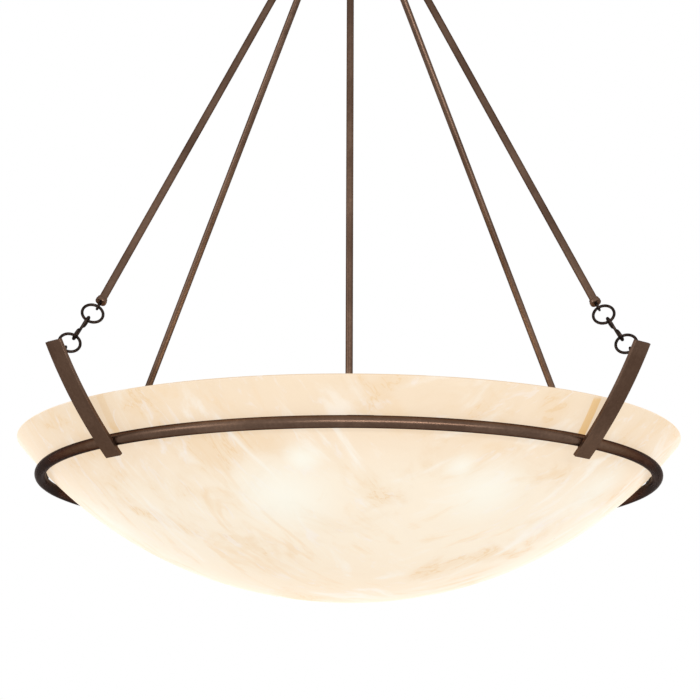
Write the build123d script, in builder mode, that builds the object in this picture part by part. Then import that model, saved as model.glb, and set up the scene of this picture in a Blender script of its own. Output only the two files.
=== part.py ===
from build123d import *
import math
import os

# Large bowl pendant light: a shallow bowl of alabaster-look glass rests in a round tube ring,
# four curved flat arms rise from the ring, and four rods with rings and S hooks carry them from
# a hub below the ceiling. The origin is the centre of the ceiling face, with +Z up.
# All lengths are in millimetres and all angles in degrees.

# Driving dimensions of the whole light
bowl_radius = 609.6
bowl_depth = 287.0
bowl_wall = 6.0
bowl_lip = 1.5
rim_drop = 1240.0
apex_drop = 81.0
corners = {"front_left": 225.0, "front_right": 315.0, "back_right": 45.0, "back_left": 135.0}
chain_turns = {"front_left": 55.0, "front_right": -55.0, "back_right": 55.0, "back_left": -55.0}

# Clearances
thread_gap = 0.1
seat_gap = 0.3
pin_gap = 0.1

# Pipe and bar stock
rod_diameter = 13.7
rod_bore = 9.3
ring_tube_diameter = 21.3
ring_tube_bore = 15.8
ring_inset = 44.6
arm_width = 38.1
arm_thickness = 6.35
arm_bend_radius = 753.0
arm_lean = 1.04
arm_below_ring = 24.0
arm_above_ring = 202.0
arm_saddle_depth = 0.6
arm_edge = 0.8

# Bowl pads on the support ring
pad_count = 8
pad_thickness = 2.0
pad_length_angle = 4.4
pad_half_wrap = 26.0

# Rod end fittings, chain rings and hooks
ferrule_diameter = 19.4
ferrule_length = 10.0
ferrule_socket = 7.5
ferrule_edge = 1.2
neck_diameter = 6.0
neck_length = 0.8
top_eye_radius = 7.0
top_eye_wire = 4.5
low_eye_radius = 5.5
low_eye_wire = 4.0
chain_ring_radius = 18.0
chain_wire = 5.0
hook_radius = 9.0
hook_pitch = 32.0
hook_sweep = 285.0
chain_angle = 39.0
arm_eye_radius = 7.5
arm_eye_wire = 5.0
arm_eye_shank = 8.0
arm_eye_standoff = 8.5
arm_eye_from_top = 23.3

# Ceiling plate, gimbal and yokes
plate_radius = 60.0
plate_thickness = 4.0
plate_hole_pcd = 100.0
plate_hole_diameter = 7.0
box_slot_spacing = 88.9
box_slot_width = 5.0
box_slot_length = 12.0
wire_hole_radius = 9.0
pivot_drop = 36.0
gimbal_outer_radius = 17.0
gimbal_inner_radius = 11.0
gimbal_height = 12.0
yoke_inner_half = 18.0
yoke_thickness = 4.0
yoke_width = 20.0
yoke_reach = 10.0
yoke_floor_drop = 18.0
pin_diameter = 6.0
pin_head_diameter = 9.0
pin_head_height = 2.0
yoke_screw_diameter = 4.0
yoke_screw_head = 7.5
yoke_screw_offset = 12.5

# Canopy and the studs and cap nuts that hold it
canopy_radius = 95.0
canopy_depth = 74.0
canopy_flat_radius = 62.0
canopy_wall = 1.5
canopy_hole_radius = 20.0
canopy_lip_height = 3.0
stud_offset = 46.0
stud_diameter = 4.0
stud_tail = 7.0
cap_nut_diameter = 12.0
cap_nut_height = 12.0

# Hub that carries the four rods
hub_radius = 25.0
hub_height = 28.0
hub_neck_radius = 12.0
hub_neck_height = 8.0
hub_edge = 3.0
hub_stem_depth = 16.0
lug_reach = 46.0
lug_hole_radius = 5.5
lug_outer_radius = 10.0
lug_thickness = 5.0
lug_hole_edge = 1.0

# Stem ends and the lamp cluster
stem_nut_across = 22.0
stem_nut_height = 6.0
cluster_drop = 42.0
cluster_radius = 40.0
cluster_height = 36.0
cluster_wall = 3.0
cluster_edge = 4.0
cover_thickness = 3.0
cover_lip = 4.0
cluster_nut_radius = 11.0
cluster_nut_height = 12.0
wire_slot_length = 14.0
wire_slot_width = 7.0
lamp_count = 6
socket_arm_diameter = 12.0
socket_arm_bore = 8.0
socket_arm_reach = 124.0
socket_radius = 19.0
socket_length = 46.0
socket_base = 4.0
socket_bore_radius = 13.6
socket_bore_depth = 25.0
bulb_base_radius = 13.2
bulb_base_length = 27.0
bulb_radius = 30.0
bulb_length = 107.0
bulb_neck_radius = 14.5

# Values that follow from the driving dimensions
rim_z = -rim_drop
bowl_outer_sphere = (bowl_radius**2 + bowl_depth**2) / (2 * bowl_depth)
bowl_centre_z = rim_z - bowl_depth + bowl_outer_sphere
apex_z = -apex_drop
pivot_z = -pivot_drop
rod_radius = rod_diameter / 2
wire_radius = chain_wire / 2
ring_tube_radius = ring_tube_diameter / 2

# The support ring lies under the bowl with the pads between them
ring_radius = bowl_radius - ring_inset
ring_from_sphere = bowl_outer_sphere + seat_gap + pad_thickness + ring_tube_radius
ring_z = bowl_centre_z - math.sqrt(ring_from_sphere**2 - ring_radius**2)
seat_angle = math.degrees(math.atan2(bowl_centre_z - ring_z, ring_radius))

# The arms are bent about a level line beyond the axis and lean on the ring
arm_ring_angle = seat_angle - arm_lean
arm_inner_radius = arm_bend_radius - arm_thickness
arm_centre_distance = arm_inner_radius - ring_tube_radius + arm_saddle_depth
arm_centre_r = ring_radius - arm_centre_distance * math.cos(math.radians(arm_ring_angle))
arm_centre_z = ring_z + arm_centre_distance * math.sin(math.radians(arm_ring_angle))
arm_low_angle = arm_ring_angle + math.degrees(arm_below_ring / arm_bend_radius)
arm_high_angle = arm_ring_angle - math.degrees(arm_above_ring / arm_bend_radius)

# Distances along the chain, from the eye under a rod to the eye on its arm
upper_ring_distance = low_eye_radius - low_eye_wire / 2 - wire_radius - seat_gap + chain_ring_radius
hook_seat = hook_radius - chain_wire - seat_gap
hook_distance = upper_ring_distance + chain_ring_radius + hook_seat + hook_pitch / 2
lower_ring_distance = hook_distance + hook_pitch / 2 + hook_seat + chain_ring_radius
arm_eye_seat = arm_eye_radius - arm_eye_wire / 2 - wire_radius - seat_gap
arm_eye_distance = lower_ring_distance + chain_ring_radius + arm_eye_seat

# The chain hangs from the eye on the arm's inner side, and the rod aims at the chain's upper end
arm_eye_angle = math.radians(arm_high_angle) + arm_eye_from_top / arm_bend_radius
arm_eye_r = arm_centre_r + (arm_inner_radius - arm_eye_standoff) * math.cos(arm_eye_angle)
arm_eye_z = arm_centre_z - (arm_inner_radius - arm_eye_standoff) * math.sin(arm_eye_angle)
low_eye_r = arm_eye_r - arm_eye_distance * math.sin(math.radians(chain_angle))
low_eye_z = arm_eye_z + arm_eye_distance * math.cos(math.radians(chain_angle))
rod_angle = math.degrees(math.atan2(low_eye_r, apex_z - low_eye_z))
rod_sine = math.sin(math.radians(rod_angle))

# Distances along a rod's line, from the point where all four lines meet
lug_distance = lug_reach / rod_sine
lug_z = apex_z - lug_reach / math.tan(math.radians(rod_angle))
lug_half_land = lug_thickness / 2 - lug_hole_edge
top_eye_drop = top_eye_radius - math.sqrt(top_eye_radius**2 - lug_half_land**2)
top_eye_contact = lug_distance + lug_hole_radius - top_eye_wire / 2 - seat_gap - top_eye_drop
top_eye_distance = top_eye_contact + top_eye_radius
top_ferrule_face = top_eye_distance + top_eye_radius + top_eye_wire / 2 + neck_length
low_ferrule_face = low_eye_r / rod_sine - low_eye_radius - low_eye_wire / 2 - neck_length

os.makedirs("parts", exist_ok=True)


def save(part, label):
    """Give a finished piece its name and write it out."""
    part.label = label
    export_step(part, f"parts/{label}.step")


def radial(azimuth):
    """Unit vector from the axis outwards at an azimuth."""
    angle = math.radians(azimuth)
    return Vector(math.cos(angle), math.sin(angle), 0)


def tangent(azimuth):
    """Unit vector along the ring at an azimuth."""
    angle = math.radians(azimuth)
    return Vector(-math.sin(angle), math.cos(angle), 0)


def down_line(azimuth, lean):
    """Unit vector down a line that leans out from upright by an angle."""
    turned = math.radians(lean)
    return radial(azimuth) * math.sin(turned) - Vector(0, 0, 1) * math.cos(turned)


def off_line(azimuth, lean):
    """Unit vector square to such a line, in its own upright plane."""
    turned = math.radians(lean)
    return radial(azimuth) * math.cos(turned) + Vector(0, 0, 1) * math.sin(turned)


def rod_point(azimuth, distance):
    """Point on a rod's line, measured from where all four lines meet."""
    return Vector(0, 0, apex_z) + down_line(azimuth, rod_angle) * distance


def chain_point(azimuth, distance):
    """Point on a chain's line, measured from the eye under the rod."""
    start = radial(azimuth) * low_eye_r + Vector(0, 0, low_eye_z)
    return start + down_line(azimuth, chain_angle) * distance


def link_normals(azimuth, lean, turn):
    """Normals of the two kinds of link, turned about a line that leans out."""
    angle = math.radians(turn)
    across = off_line(azimuth, lean)
    along = tangent(azimuth)
    ring_side = across * math.cos(angle) + along * math.sin(angle)
    hook_side = across * -math.sin(angle) + along * math.cos(angle)
    return ring_side, hook_side


# Bowl

def bowl_point(sphere, turn):
    """Point of the bowl's section on one of its two spheres, at an angle from the axis."""
    return sphere * math.sin(turn), bowl_centre_z - sphere * math.cos(turn)


with BuildPart() as bowl:
    with BuildSketch(Plane.XZ) as bowl_section:
        inner_sphere = bowl_outer_sphere - bowl_wall
        rim_turn = math.asin(bowl_radius / bowl_outer_sphere)
        with BuildLine():
            outer_start = bowl_point(bowl_outer_sphere, 0)
            outer_end = bowl_point(bowl_outer_sphere, rim_turn)
            inner_start = bowl_point(inner_sphere, 0)
            inner_end = bowl_point(inner_sphere, rim_turn)
            ThreePointArc(outer_start, bowl_point(bowl_outer_sphere, rim_turn / 2), outer_end)
            Line(outer_end, inner_end)
            ThreePointArc(inner_end, bowl_point(inner_sphere, rim_turn / 2), inner_start)
            Line(inner_start, outer_start)
        make_face()
        rim_edge = bowl_section.edges().filter_by(GeomType.LINE).sort_by(Axis.X)[-1]
        fillet(rim_edge.vertices(), radius=bowl_lip)
    revolve(axis=Axis.Z)
save(bowl.part, "bowl")


# Support ring and its pads

with BuildPart() as support_ring:
    with BuildSketch(Plane.XZ):
        with Locations((ring_radius, ring_z)):
            Circle(ring_tube_diameter / 2)
            Circle(ring_tube_bore / 2, mode=Mode.SUBTRACT)
    revolve(axis=Axis.Z)
save(support_ring.part, "support_ring")


def pad_point(distance, angle):
    """Point about the ring tube's centre, from the side that faces the bowl."""
    turned = math.radians(180 - seat_angle + angle)
    return ring_radius + distance * math.cos(turned), ring_z + distance * math.sin(turned)


with BuildPart() as bowl_pads:
    pad_outer = ring_tube_radius + pad_thickness
    for index in range(pad_count):
        azimuth = index * 360 / pad_count
        pad_plane = Plane(origin=(0, 0, 0), x_dir=radial(azimuth), z_dir=tangent(azimuth) * -1)
        with BuildSketch(pad_plane):
            with BuildLine():
                ThreePointArc(
                    pad_point(ring_tube_radius, -pad_half_wrap),
                    pad_point(ring_tube_radius, 0),
                    pad_point(ring_tube_radius, pad_half_wrap),
                )
                Line(pad_point(ring_tube_radius, pad_half_wrap), pad_point(pad_outer, pad_half_wrap))
                ThreePointArc(
                    pad_point(pad_outer, pad_half_wrap),
                    pad_point(pad_outer, 0),
                    pad_point(pad_outer, -pad_half_wrap),
                )
                Line(pad_point(pad_outer, -pad_half_wrap), pad_point(ring_tube_radius, -pad_half_wrap))
            make_face()
        revolve(axis=Axis.Z, revolution_arc=pad_length_angle)
save(bowl_pads.part, "bowl_pads")


# Curved flat arms, each with a welded eye at its inner side

def shank_length():
    """Length from the eye's wire along the chain's line to the middle of the bar."""
    turned = math.radians(chain_angle)
    start_r = arm_eye_r - arm_centre_r + arm_eye_radius * math.sin(turned)
    start_z = arm_eye_z - arm_centre_z - arm_eye_radius * math.cos(turned)
    along = start_r * math.sin(turned) - start_z * math.cos(turned)
    reach = arm_inner_radius + arm_thickness / 2
    return -along + math.sqrt(along**2 + reach**2 - start_r**2 - start_z**2)


def make_arm(azimuth, turn):
    """One arm: a bent flat bar, notched over the ring, with an eye on a short shank."""
    side_plane = Plane(origin=(0, 0, 0), x_dir=radial(azimuth), z_dir=tangent(azimuth) * -1)
    down = down_line(azimuth, chain_angle)
    hook_side = link_normals(azimuth, chain_angle, turn)[1]

    def bar_point(radius, angle):
        """Point of the bar's side view at a bend radius and an angle below level."""
        turned = math.radians(angle)
        return arm_centre_r + radius * math.cos(turned), arm_centre_z - radius * math.sin(turned)

    middle_angle = (arm_low_angle + arm_high_angle) / 2
    with BuildPart() as arm:
        with BuildSketch(side_plane):
            with BuildLine():
                ThreePointArc(
                    bar_point(arm_bend_radius, arm_low_angle),
                    bar_point(arm_bend_radius, middle_angle),
                    bar_point(arm_bend_radius, arm_high_angle),
                )
                Line(
                    bar_point(arm_bend_radius, arm_high_angle),
                    bar_point(arm_inner_radius, arm_high_angle),
                )
                ThreePointArc(
                    bar_point(arm_inner_radius, arm_high_angle),
                    bar_point(arm_inner_radius, middle_angle),
                    bar_point(arm_inner_radius, arm_low_angle),
                )
                Line(
                    bar_point(arm_inner_radius, arm_low_angle),
                    bar_point(arm_bend_radius, arm_low_angle),
                )
            make_face()
        extrude(amount=arm_width / 2, both=True)
        chamfer(arm.edges().filter_by(GeomType.CIRCLE), length=arm_edge)
        with Locations((0, 0, ring_z)):
            Torus(ring_radius, ring_tube_radius, mode=Mode.SUBTRACT)
        shank_start = chain_point(azimuth, arm_eye_distance + arm_eye_radius)
        with BuildSketch(Plane(origin=shank_start, x_dir=tangent(azimuth), z_dir=down)):
            Circle(arm_eye_shank / 2)
        extrude(amount=shank_length())
        with Locations(Plane(origin=chain_point(azimuth, arm_eye_distance), x_dir=down, z_dir=hook_side)):
            Torus(arm_eye_radius, arm_eye_wire / 2)
    return arm.part


for corner, azimuth in corners.items():
    save(make_arm(azimuth, chain_turns[corner]), f"arm_{corner}")


# Rods, their end fittings, chain rings and S hooks

def make_rod(azimuth):
    """The pipe of one rod, between the floors of its two ferrules."""
    start = top_ferrule_face + ferrule_length - ferrule_socket + thread_gap
    end = low_ferrule_face - ferrule_length + ferrule_socket - thread_gap
    with BuildPart() as rod:
        start_plane = Plane(
            origin=rod_point(azimuth, start),
            x_dir=tangent(azimuth),
            z_dir=down_line(azimuth, rod_angle),
        )
        with BuildSketch(start_plane):
            Circle(rod_radius)
            Circle(rod_bore / 2, mode=Mode.SUBTRACT)
        extrude(amount=end - start)
    return rod.part


def make_rod_end(azimuth, face, facing, eye_radius, eye_wire, eye_normal):
    """A screwed ferrule with an eye. Facing is 1 for the lower end and -1 for the upper one."""
    down = down_line(azimuth, rod_angle)
    face_plane = Plane(origin=rod_point(azimuth, face), x_dir=tangent(azimuth), z_dir=down * facing)
    eye_centre = rod_point(azimuth, face + facing * (neck_length + eye_wire / 2 + eye_radius))
    with BuildPart() as rod_end:
        with BuildSketch(face_plane.offset(-ferrule_length)):
            Circle(ferrule_diameter / 2)
        extrude(amount=ferrule_length)
        chamfer(rod_end.edges().filter_by(GeomType.CIRCLE), length=ferrule_edge)
        with BuildSketch(face_plane.offset(-ferrule_length)):
            Circle(rod_radius + thread_gap)
        extrude(amount=ferrule_socket, mode=Mode.SUBTRACT)
        with BuildSketch(face_plane.offset(-ferrule_edge)):
            Circle(neck_diameter / 2)
        extrude(amount=ferrule_edge + neck_length + eye_wire / 2)
        with Locations(Plane(origin=eye_centre, x_dir=down, z_dir=eye_normal)):
            Torus(eye_radius, eye_wire / 2)
    return rod_end.part


def make_ring(azimuth, distance, normal):
    """One round chain ring."""
    down = down_line(azimuth, chain_angle)
    with BuildPart() as ring:
        with Locations(Plane(origin=chain_point(azimuth, distance), x_dir=down, z_dir=normal)):
            Torus(chain_ring_radius, wire_radius)
    return ring.part


def make_hook(azimuth, normal):
    """A closed S hook: two round hooks on opposite sides of a slanted shank."""
    slant = math.asin(2 * hook_radius / hook_pitch)
    down = down_line(azimuth, chain_angle)
    hook_plane = Plane(origin=chain_point(azimuth, hook_distance), x_dir=down, z_dir=normal)

    def arc_point(side, angle):
        """Point of one hook's centreline, on the upper side -1 or the lower side 1."""
        return (
            side * (hook_pitch / 2 + hook_radius * math.sin(angle)),
            side * hook_radius * math.cos(angle),
        )

    hook_turn = math.radians(hook_sweep)
    with BuildPart() as hook:
        with BuildLine(hook_plane) as hook_line:
            ThreePointArc(
                arc_point(-1, hook_turn - slant),
                arc_point(-1, hook_turn / 2 - slant),
                arc_point(-1, -slant),
            )
            Line(arc_point(-1, -slant), arc_point(1, -slant))
            ThreePointArc(
                arc_point(1, -slant),
                arc_point(1, hook_turn / 2 - slant),
                arc_point(1, hook_turn - slant),
            )
        with BuildSketch(Plane(origin=hook_line.line @ 0, z_dir=hook_line.line % 0)):
            Circle(wire_radius)
        sweep(path=hook_line.line)
    return hook.part


for corner, azimuth in corners.items():
    turn = chain_turns[corner]
    ring_side, hook_side = link_normals(azimuth, chain_angle, turn)
    low_normal = link_normals(azimuth, rod_angle, turn)[1]
    top_normal = off_line(azimuth, rod_angle)
    save(make_rod(azimuth), f"rod_{corner}")
    top_end = make_rod_end(azimuth, top_ferrule_face, -1, top_eye_radius, top_eye_wire, top_normal)
    save(top_end, f"rod_top_end_{corner}")
    low_end = make_rod_end(azimuth, low_ferrule_face, 1, low_eye_radius, low_eye_wire, low_normal)
    save(low_end, f"rod_low_end_{corner}")
    with BuildPart() as chain_rings:
        add(make_ring(azimuth, upper_ring_distance, ring_side))
        add(make_ring(azimuth, lower_ring_distance, ring_side))
    save(chain_rings.part, f"chain_rings_{corner}")
    save(make_hook(azimuth, hook_side), f"s_hook_{corner}")


# Ceiling plate, with holes for anchors, slots for an outlet box and a wire hole

with BuildPart() as ceiling_plate:
    with BuildSketch(Plane.XY.offset(-plate_thickness)):
        Circle(plate_radius)
        Circle(wire_hole_radius, mode=Mode.SUBTRACT)
        with PolarLocations(plate_hole_pcd / 2, 4, start_angle=45):
            Circle(plate_hole_diameter / 2, mode=Mode.SUBTRACT)
        with GridLocations(1, box_slot_spacing, 1, 2):
            SlotOverall(box_slot_length, box_slot_width, rotation=90, mode=Mode.SUBTRACT)
        with GridLocations(2 * stud_offset, 1, 2, 1):
            Circle(stud_diameter / 2 + thread_gap, mode=Mode.SUBTRACT)
        with GridLocations(1, 2 * yoke_screw_offset, 1, 2):
            Circle(yoke_screw_diameter / 2 + thread_gap, mode=Mode.SUBTRACT)
    extrude(amount=plate_thickness)
save(ceiling_plate.part, "ceiling_plate")


# Gimbal: an upper yoke on the plate, a ring with four cross pins and a lower yoke on the stem

def make_yoke(floor_z, facing, cheek_direction, floor_width, floor_hole):
    """A yoke with a flat floor and two cheeks. Facing is 1 if the cheeks stand up, -1 if they hang."""
    outer_half = yoke_inner_half + yoke_thickness
    cheek_length = abs(pivot_z - floor_z)
    side = Plane(origin=(0, 0, 0), x_dir=Vector(0, 0, facing), z_dir=cheek_direction)
    floor_plane = Plane(origin=(0, 0, floor_z), x_dir=cheek_direction, z_dir=Vector(0, 0, -facing))
    with BuildPart() as yoke:
        with BuildSketch(floor_plane):
            Rectangle(2 * outer_half, floor_width)
            Circle(floor_hole, mode=Mode.SUBTRACT)
            if facing < 0:
                with GridLocations(1, 2 * yoke_screw_offset, 1, 2):
                    Circle(yoke_screw_diameter / 2 + thread_gap, mode=Mode.SUBTRACT)
        extrude(amount=yoke_thickness)
        for start in (-outer_half, yoke_inner_half):
            with BuildSketch(side.offset(start)):
                with Locations((facing * (floor_z + pivot_z) / 2, 0)):
                    Rectangle(cheek_length, yoke_width)
                with Locations((facing * pivot_z, 0)):
                    Circle(yoke_reach)
                    Circle(pin_diameter / 2, mode=Mode.SUBTRACT)
            extrude(amount=yoke_thickness)
    return yoke.part


def make_pins(direction):
    """Two headed pins in line, each through one cheek and one side of the gimbal ring."""
    shank_start = (gimbal_inner_radius + gimbal_outer_radius) / 2
    outer_half = yoke_inner_half + yoke_thickness
    with BuildPart() as pins:
        for side in (-1, 1):
            outward = direction * side
            across = Vector(0, 0, 1)
            shank_origin = Vector(0, 0, pivot_z) + outward * shank_start
            head_origin = Vector(0, 0, pivot_z) + outward * outer_half
            with BuildSketch(Plane(origin=shank_origin, x_dir=across, z_dir=outward)):
                Circle(pin_diameter / 2)
            extrude(amount=outer_half - shank_start)
            with BuildSketch(Plane(origin=head_origin, x_dir=across, z_dir=outward)):
                Circle(pin_head_diameter / 2)
            extrude(amount=pin_head_height)
    return pins.part


upper_floor_z = -plate_thickness - yoke_thickness
lower_floor_z = pivot_z - yoke_floor_drop
across_x = Vector(1, 0, 0)
across_y = Vector(0, 1, 0)
upper_floor_width = 2 * yoke_screw_offset + 2 * yoke_reach
save(make_yoke(upper_floor_z, -1, across_x, upper_floor_width, wire_hole_radius), "upper_yoke")
save(make_yoke(lower_floor_z, 1, across_y, yoke_width, rod_radius + thread_gap), "lower_yoke")
save(make_pins(across_x), "upper_pins")
save(make_pins(across_y), "lower_pins")

with BuildPart() as gimbal_ring:
    with BuildSketch(Plane.XY.offset(pivot_z - gimbal_height / 2)):
        Circle(gimbal_outer_radius)
        Circle(gimbal_inner_radius, mode=Mode.SUBTRACT)
    extrude(amount=gimbal_height)
    for plane in (Plane.YZ, Plane.XZ):
        with BuildSketch(plane):
            with Locations((0, pivot_z)):
                Circle(pin_diameter / 2 + pin_gap)
        extrude(amount=gimbal_outer_radius, both=True, mode=Mode.SUBTRACT)
save(gimbal_ring.part, "gimbal_ring")

with BuildPart() as yoke_screws:
    for side in (-1, 1):
        screw_y = side * yoke_screw_offset
        with BuildSketch(Plane.XY.offset(upper_floor_z)):
            with Locations((0, screw_y)):
                Circle(yoke_screw_diameter / 2)
        extrude(amount=yoke_thickness + plate_thickness)
        with BuildSketch(Plane.XY.offset(upper_floor_z)):
            with Locations((0, screw_y)):
                Circle(yoke_screw_head / 2)
        extrude(amount=-yoke_screw_diameter / 2)
save(yoke_screws.part, "yoke_screws")


# Canopy, studs and cap nuts

canopy_floor_z = -canopy_depth
stud_end_z = canopy_floor_z - stud_tail

with BuildPart() as canopy:
    with BuildSketch(Plane.XZ):
        with BuildLine():
            shoulder = (canopy_flat_radius, canopy_floor_z)
            corner_r = canopy_radius - canopy_flat_radius
            Line((0, 0), (canopy_radius, 0))
            EllipticalCenterArc((canopy_flat_radius, 0), corner_r, canopy_depth, start_angle=270, arc_size=90)
            Line(shoulder, (0, canopy_floor_z))
            Line((0, canopy_floor_z), (0, 0))
        make_face()
    revolve(axis=Axis.Z)
    with BuildSketch(Plane.XZ):
        with BuildLine():
            inner_floor = canopy_floor_z + canopy_wall
            inner_corner = corner_r - canopy_wall
            inner_depth = canopy_depth - canopy_wall
            Line((0, 0), (canopy_radius - canopy_wall, 0))
            EllipticalCenterArc((canopy_flat_radius, 0), inner_corner, inner_depth, start_angle=270, arc_size=90)
            Line((canopy_flat_radius, inner_floor), (0, inner_floor))
            Line((0, inner_floor), (0, 0))
        make_face()
    revolve(axis=Axis.Z, mode=Mode.SUBTRACT)
    with BuildSketch(Plane.XY.offset(canopy_floor_z - canopy_lip_height)):
        Circle(canopy_hole_radius + canopy_lip_height)
    extrude(amount=canopy_lip_height)
    with BuildSketch(Plane.XY.offset(canopy_floor_z - canopy_lip_height)):
        Circle(canopy_hole_radius)
        with GridLocations(2 * stud_offset, 1, 2, 1):
            Circle(stud_diameter / 2 + seat_gap)
    extrude(amount=2 * canopy_lip_height + canopy_wall, mode=Mode.SUBTRACT)
save(canopy.part, "canopy")

with BuildPart() as canopy_studs:
    with BuildSketch(Plane.XY.offset(stud_end_z)):
        with GridLocations(2 * stud_offset, 1, 2, 1):
            Circle(stud_diameter / 2)
    extrude(amount=-stud_end_z)
save(canopy_studs.part, "canopy_studs")

with BuildPart() as cap_nuts:
    for side in (-1, 1):
        with BuildSketch(Plane.XY.offset(canopy_floor_z)):
            with Locations((side * stud_offset, 0)):
                Circle(cap_nut_diameter / 2)
        extrude(amount=-cap_nut_height)
    fillet(cap_nuts.faces().sort_by(Axis.Z)[:2].edges(), radius=cap_nut_diameter / 2 - 1)
    with BuildSketch(Plane.XY.offset(canopy_floor_z)):
        with GridLocations(2 * stud_offset, 1, 2, 1):
            Circle(stud_diameter / 2 + thread_gap)
    extrude(amount=-stud_tail - seat_gap, mode=Mode.SUBTRACT)
save(cap_nuts.part, "cap_nuts")


# Hub and stems

hub_top_z = lug_z + hub_height / 2
hub_low_z = lug_z - hub_height / 2

with BuildPart() as hub:
    with BuildSketch(Plane.XY.offset(hub_low_z)):
        Circle(hub_radius)
    extrude(amount=hub_height)
    chamfer(hub.edges().filter_by(GeomType.CIRCLE), length=hub_edge)
    with BuildSketch(Plane.XY.offset(hub_low_z - hub_neck_height)):
        Circle(hub_neck_radius)
    extrude(amount=hub_height + 2 * hub_neck_height)
    for azimuth in corners.values():
        lug_plane = Plane(origin=(0, 0, 0), x_dir=radial(azimuth), z_dir=tangent(azimuth) * -1)
        with BuildSketch(lug_plane):
            with Locations((lug_reach / 2, lug_z)):
                Rectangle(lug_reach, 2 * lug_outer_radius)
            with Locations((lug_reach, lug_z)):
                Circle(lug_outer_radius)
                Circle(lug_hole_radius, mode=Mode.SUBTRACT)
        extrude(amount=lug_thickness / 2, both=True)
    round_edges = hub.edges().filter_by(GeomType.CIRCLE)
    hole_edges = round_edges.filter_by(lambda edge: math.isclose(edge.radius, lug_hole_radius))
    chamfer(hole_edges, length=lug_hole_edge)
    with BuildSketch(Plane.XY.offset(hub_low_z - hub_neck_height)):
        Circle(rod_bore / 2)
    extrude(amount=hub_height + 2 * hub_neck_height, mode=Mode.SUBTRACT)
    for side in (-1, 1):
        with BuildSketch(Plane.XY.offset(lug_z + side * (hub_height / 2 + hub_neck_height))):
            Circle(rod_radius + thread_gap)
        extrude(amount=-side * hub_stem_depth, mode=Mode.SUBTRACT)
save(hub.part, "hub")


def make_stem(top_z, low_z):
    """A straight piece of stem pipe on the axis."""
    with BuildPart() as stem:
        with BuildSketch(Plane.XY.offset(low_z)):
            Circle(rod_radius)
            Circle(rod_bore / 2, mode=Mode.SUBTRACT)
        extrude(amount=top_z - low_z)
    return stem.part


def make_stem_nut(z, height):
    """A hexagon nut on the stem."""
    with BuildPart() as nut:
        with BuildSketch(Plane.XY.offset(z)):
            RegularPolygon(stem_nut_across / 2, 6, major_radius=False)
            Circle(rod_radius + thread_gap, mode=Mode.SUBTRACT)
        extrude(amount=height)
    return nut.part


cluster_z = rim_z - cluster_drop
cluster_top_z = cluster_z + cluster_height / 2
cluster_low_z = cluster_z - cluster_height / 2
stem_low_z = cluster_low_z - cover_thickness - cluster_nut_height / 2
upper_stem_low_z = hub_top_z + hub_neck_height - hub_stem_depth + thread_gap
lower_stem_top_z = hub_low_z - hub_neck_height + hub_stem_depth - thread_gap
save(make_stem(lower_floor_z + stem_nut_height, upper_stem_low_z), "upper_stem")

with BuildPart() as lower_stem:
    add(make_stem(lower_stem_top_z, stem_low_z))
    with BuildSketch(Plane.YZ):
        with Locations((0, cluster_z)):
            SlotOverall(wire_slot_length, wire_slot_width, rotation=90)
    extrude(amount=rod_diameter, both=True, mode=Mode.SUBTRACT)
save(lower_stem.part, "lower_stem")

with BuildPart() as stem_nuts:
    add(make_stem_nut(lower_floor_z, stem_nut_height))
    add(make_stem_nut(lower_floor_z - yoke_thickness - stem_nut_height, stem_nut_height))
save(stem_nuts.part, "stem_nuts")


# Lamp cluster

with BuildPart() as cluster_body:
    with BuildSketch(Plane.XY.offset(cluster_low_z)):
        Circle(cluster_radius)
    extrude(amount=cluster_height)
    fillet(cluster_body.edges().filter_by(GeomType.CIRCLE).sort_by(Axis.Z)[-1], radius=cluster_edge)
    with BuildSketch(Plane.XY.offset(cluster_low_z)):
        Circle(cluster_radius - cluster_wall)
    extrude(amount=cluster_height - cluster_wall, mode=Mode.SUBTRACT)
    with BuildSketch(Plane.XY.offset(cluster_top_z)):
        Circle(hub_neck_radius)
    extrude(amount=hub_neck_height)
    with BuildSketch(Plane.XY.offset(cluster_top_z + hub_neck_height)):
        Circle(rod_radius + thread_gap)
    extrude(amount=-hub_neck_height - cluster_wall, mode=Mode.SUBTRACT)
    for index in range(lamp_count):
        outward = radial(index * 360 / lamp_count)
        with BuildSketch(Plane(origin=(0, 0, cluster_z), x_dir=Vector(0, 0, 1), z_dir=outward)):
            Circle(socket_arm_diameter / 2 + thread_gap)
        extrude(amount=cluster_radius, mode=Mode.SUBTRACT)
save(cluster_body.part, "cluster_body")

with BuildPart() as cluster_cover:
    with BuildSketch(Plane.XY.offset(cluster_low_z - cover_thickness)):
        Circle(cluster_radius)
    extrude(amount=cover_thickness)
    fillet(cluster_cover.edges().filter_by(GeomType.CIRCLE).sort_by(Axis.Z)[0], radius=cover_thickness / 2)
    with BuildSketch(Plane.XY.offset(cluster_low_z)):
        Circle(cluster_radius - cluster_wall - thread_gap)
        Circle(cluster_radius - 2 * cluster_wall, mode=Mode.SUBTRACT)
    extrude(amount=cover_lip)
    with BuildSketch(Plane.XY.offset(cluster_low_z - cover_thickness)):
        Circle(rod_radius + thread_gap)
    extrude(amount=cover_thickness, mode=Mode.SUBTRACT)
save(cluster_cover.part, "cluster_cover")

with BuildPart() as cluster_nut:
    nut_top_z = cluster_low_z - cover_thickness
    with BuildSketch(Plane.XY.offset(nut_top_z - cluster_nut_height)):
        Circle(cluster_nut_radius)
    extrude(amount=cluster_nut_height)
    fillet(cluster_nut.edges().filter_by(GeomType.CIRCLE).sort_by(Axis.Z)[0], radius=cluster_nut_radius / 2)
    with BuildSketch(Plane.XY.offset(nut_top_z)):
        Circle(rod_radius + thread_gap)
    extrude(amount=-cluster_nut_height / 2 - thread_gap, mode=Mode.SUBTRACT)
save(cluster_nut.part, "cluster_nut")

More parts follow.
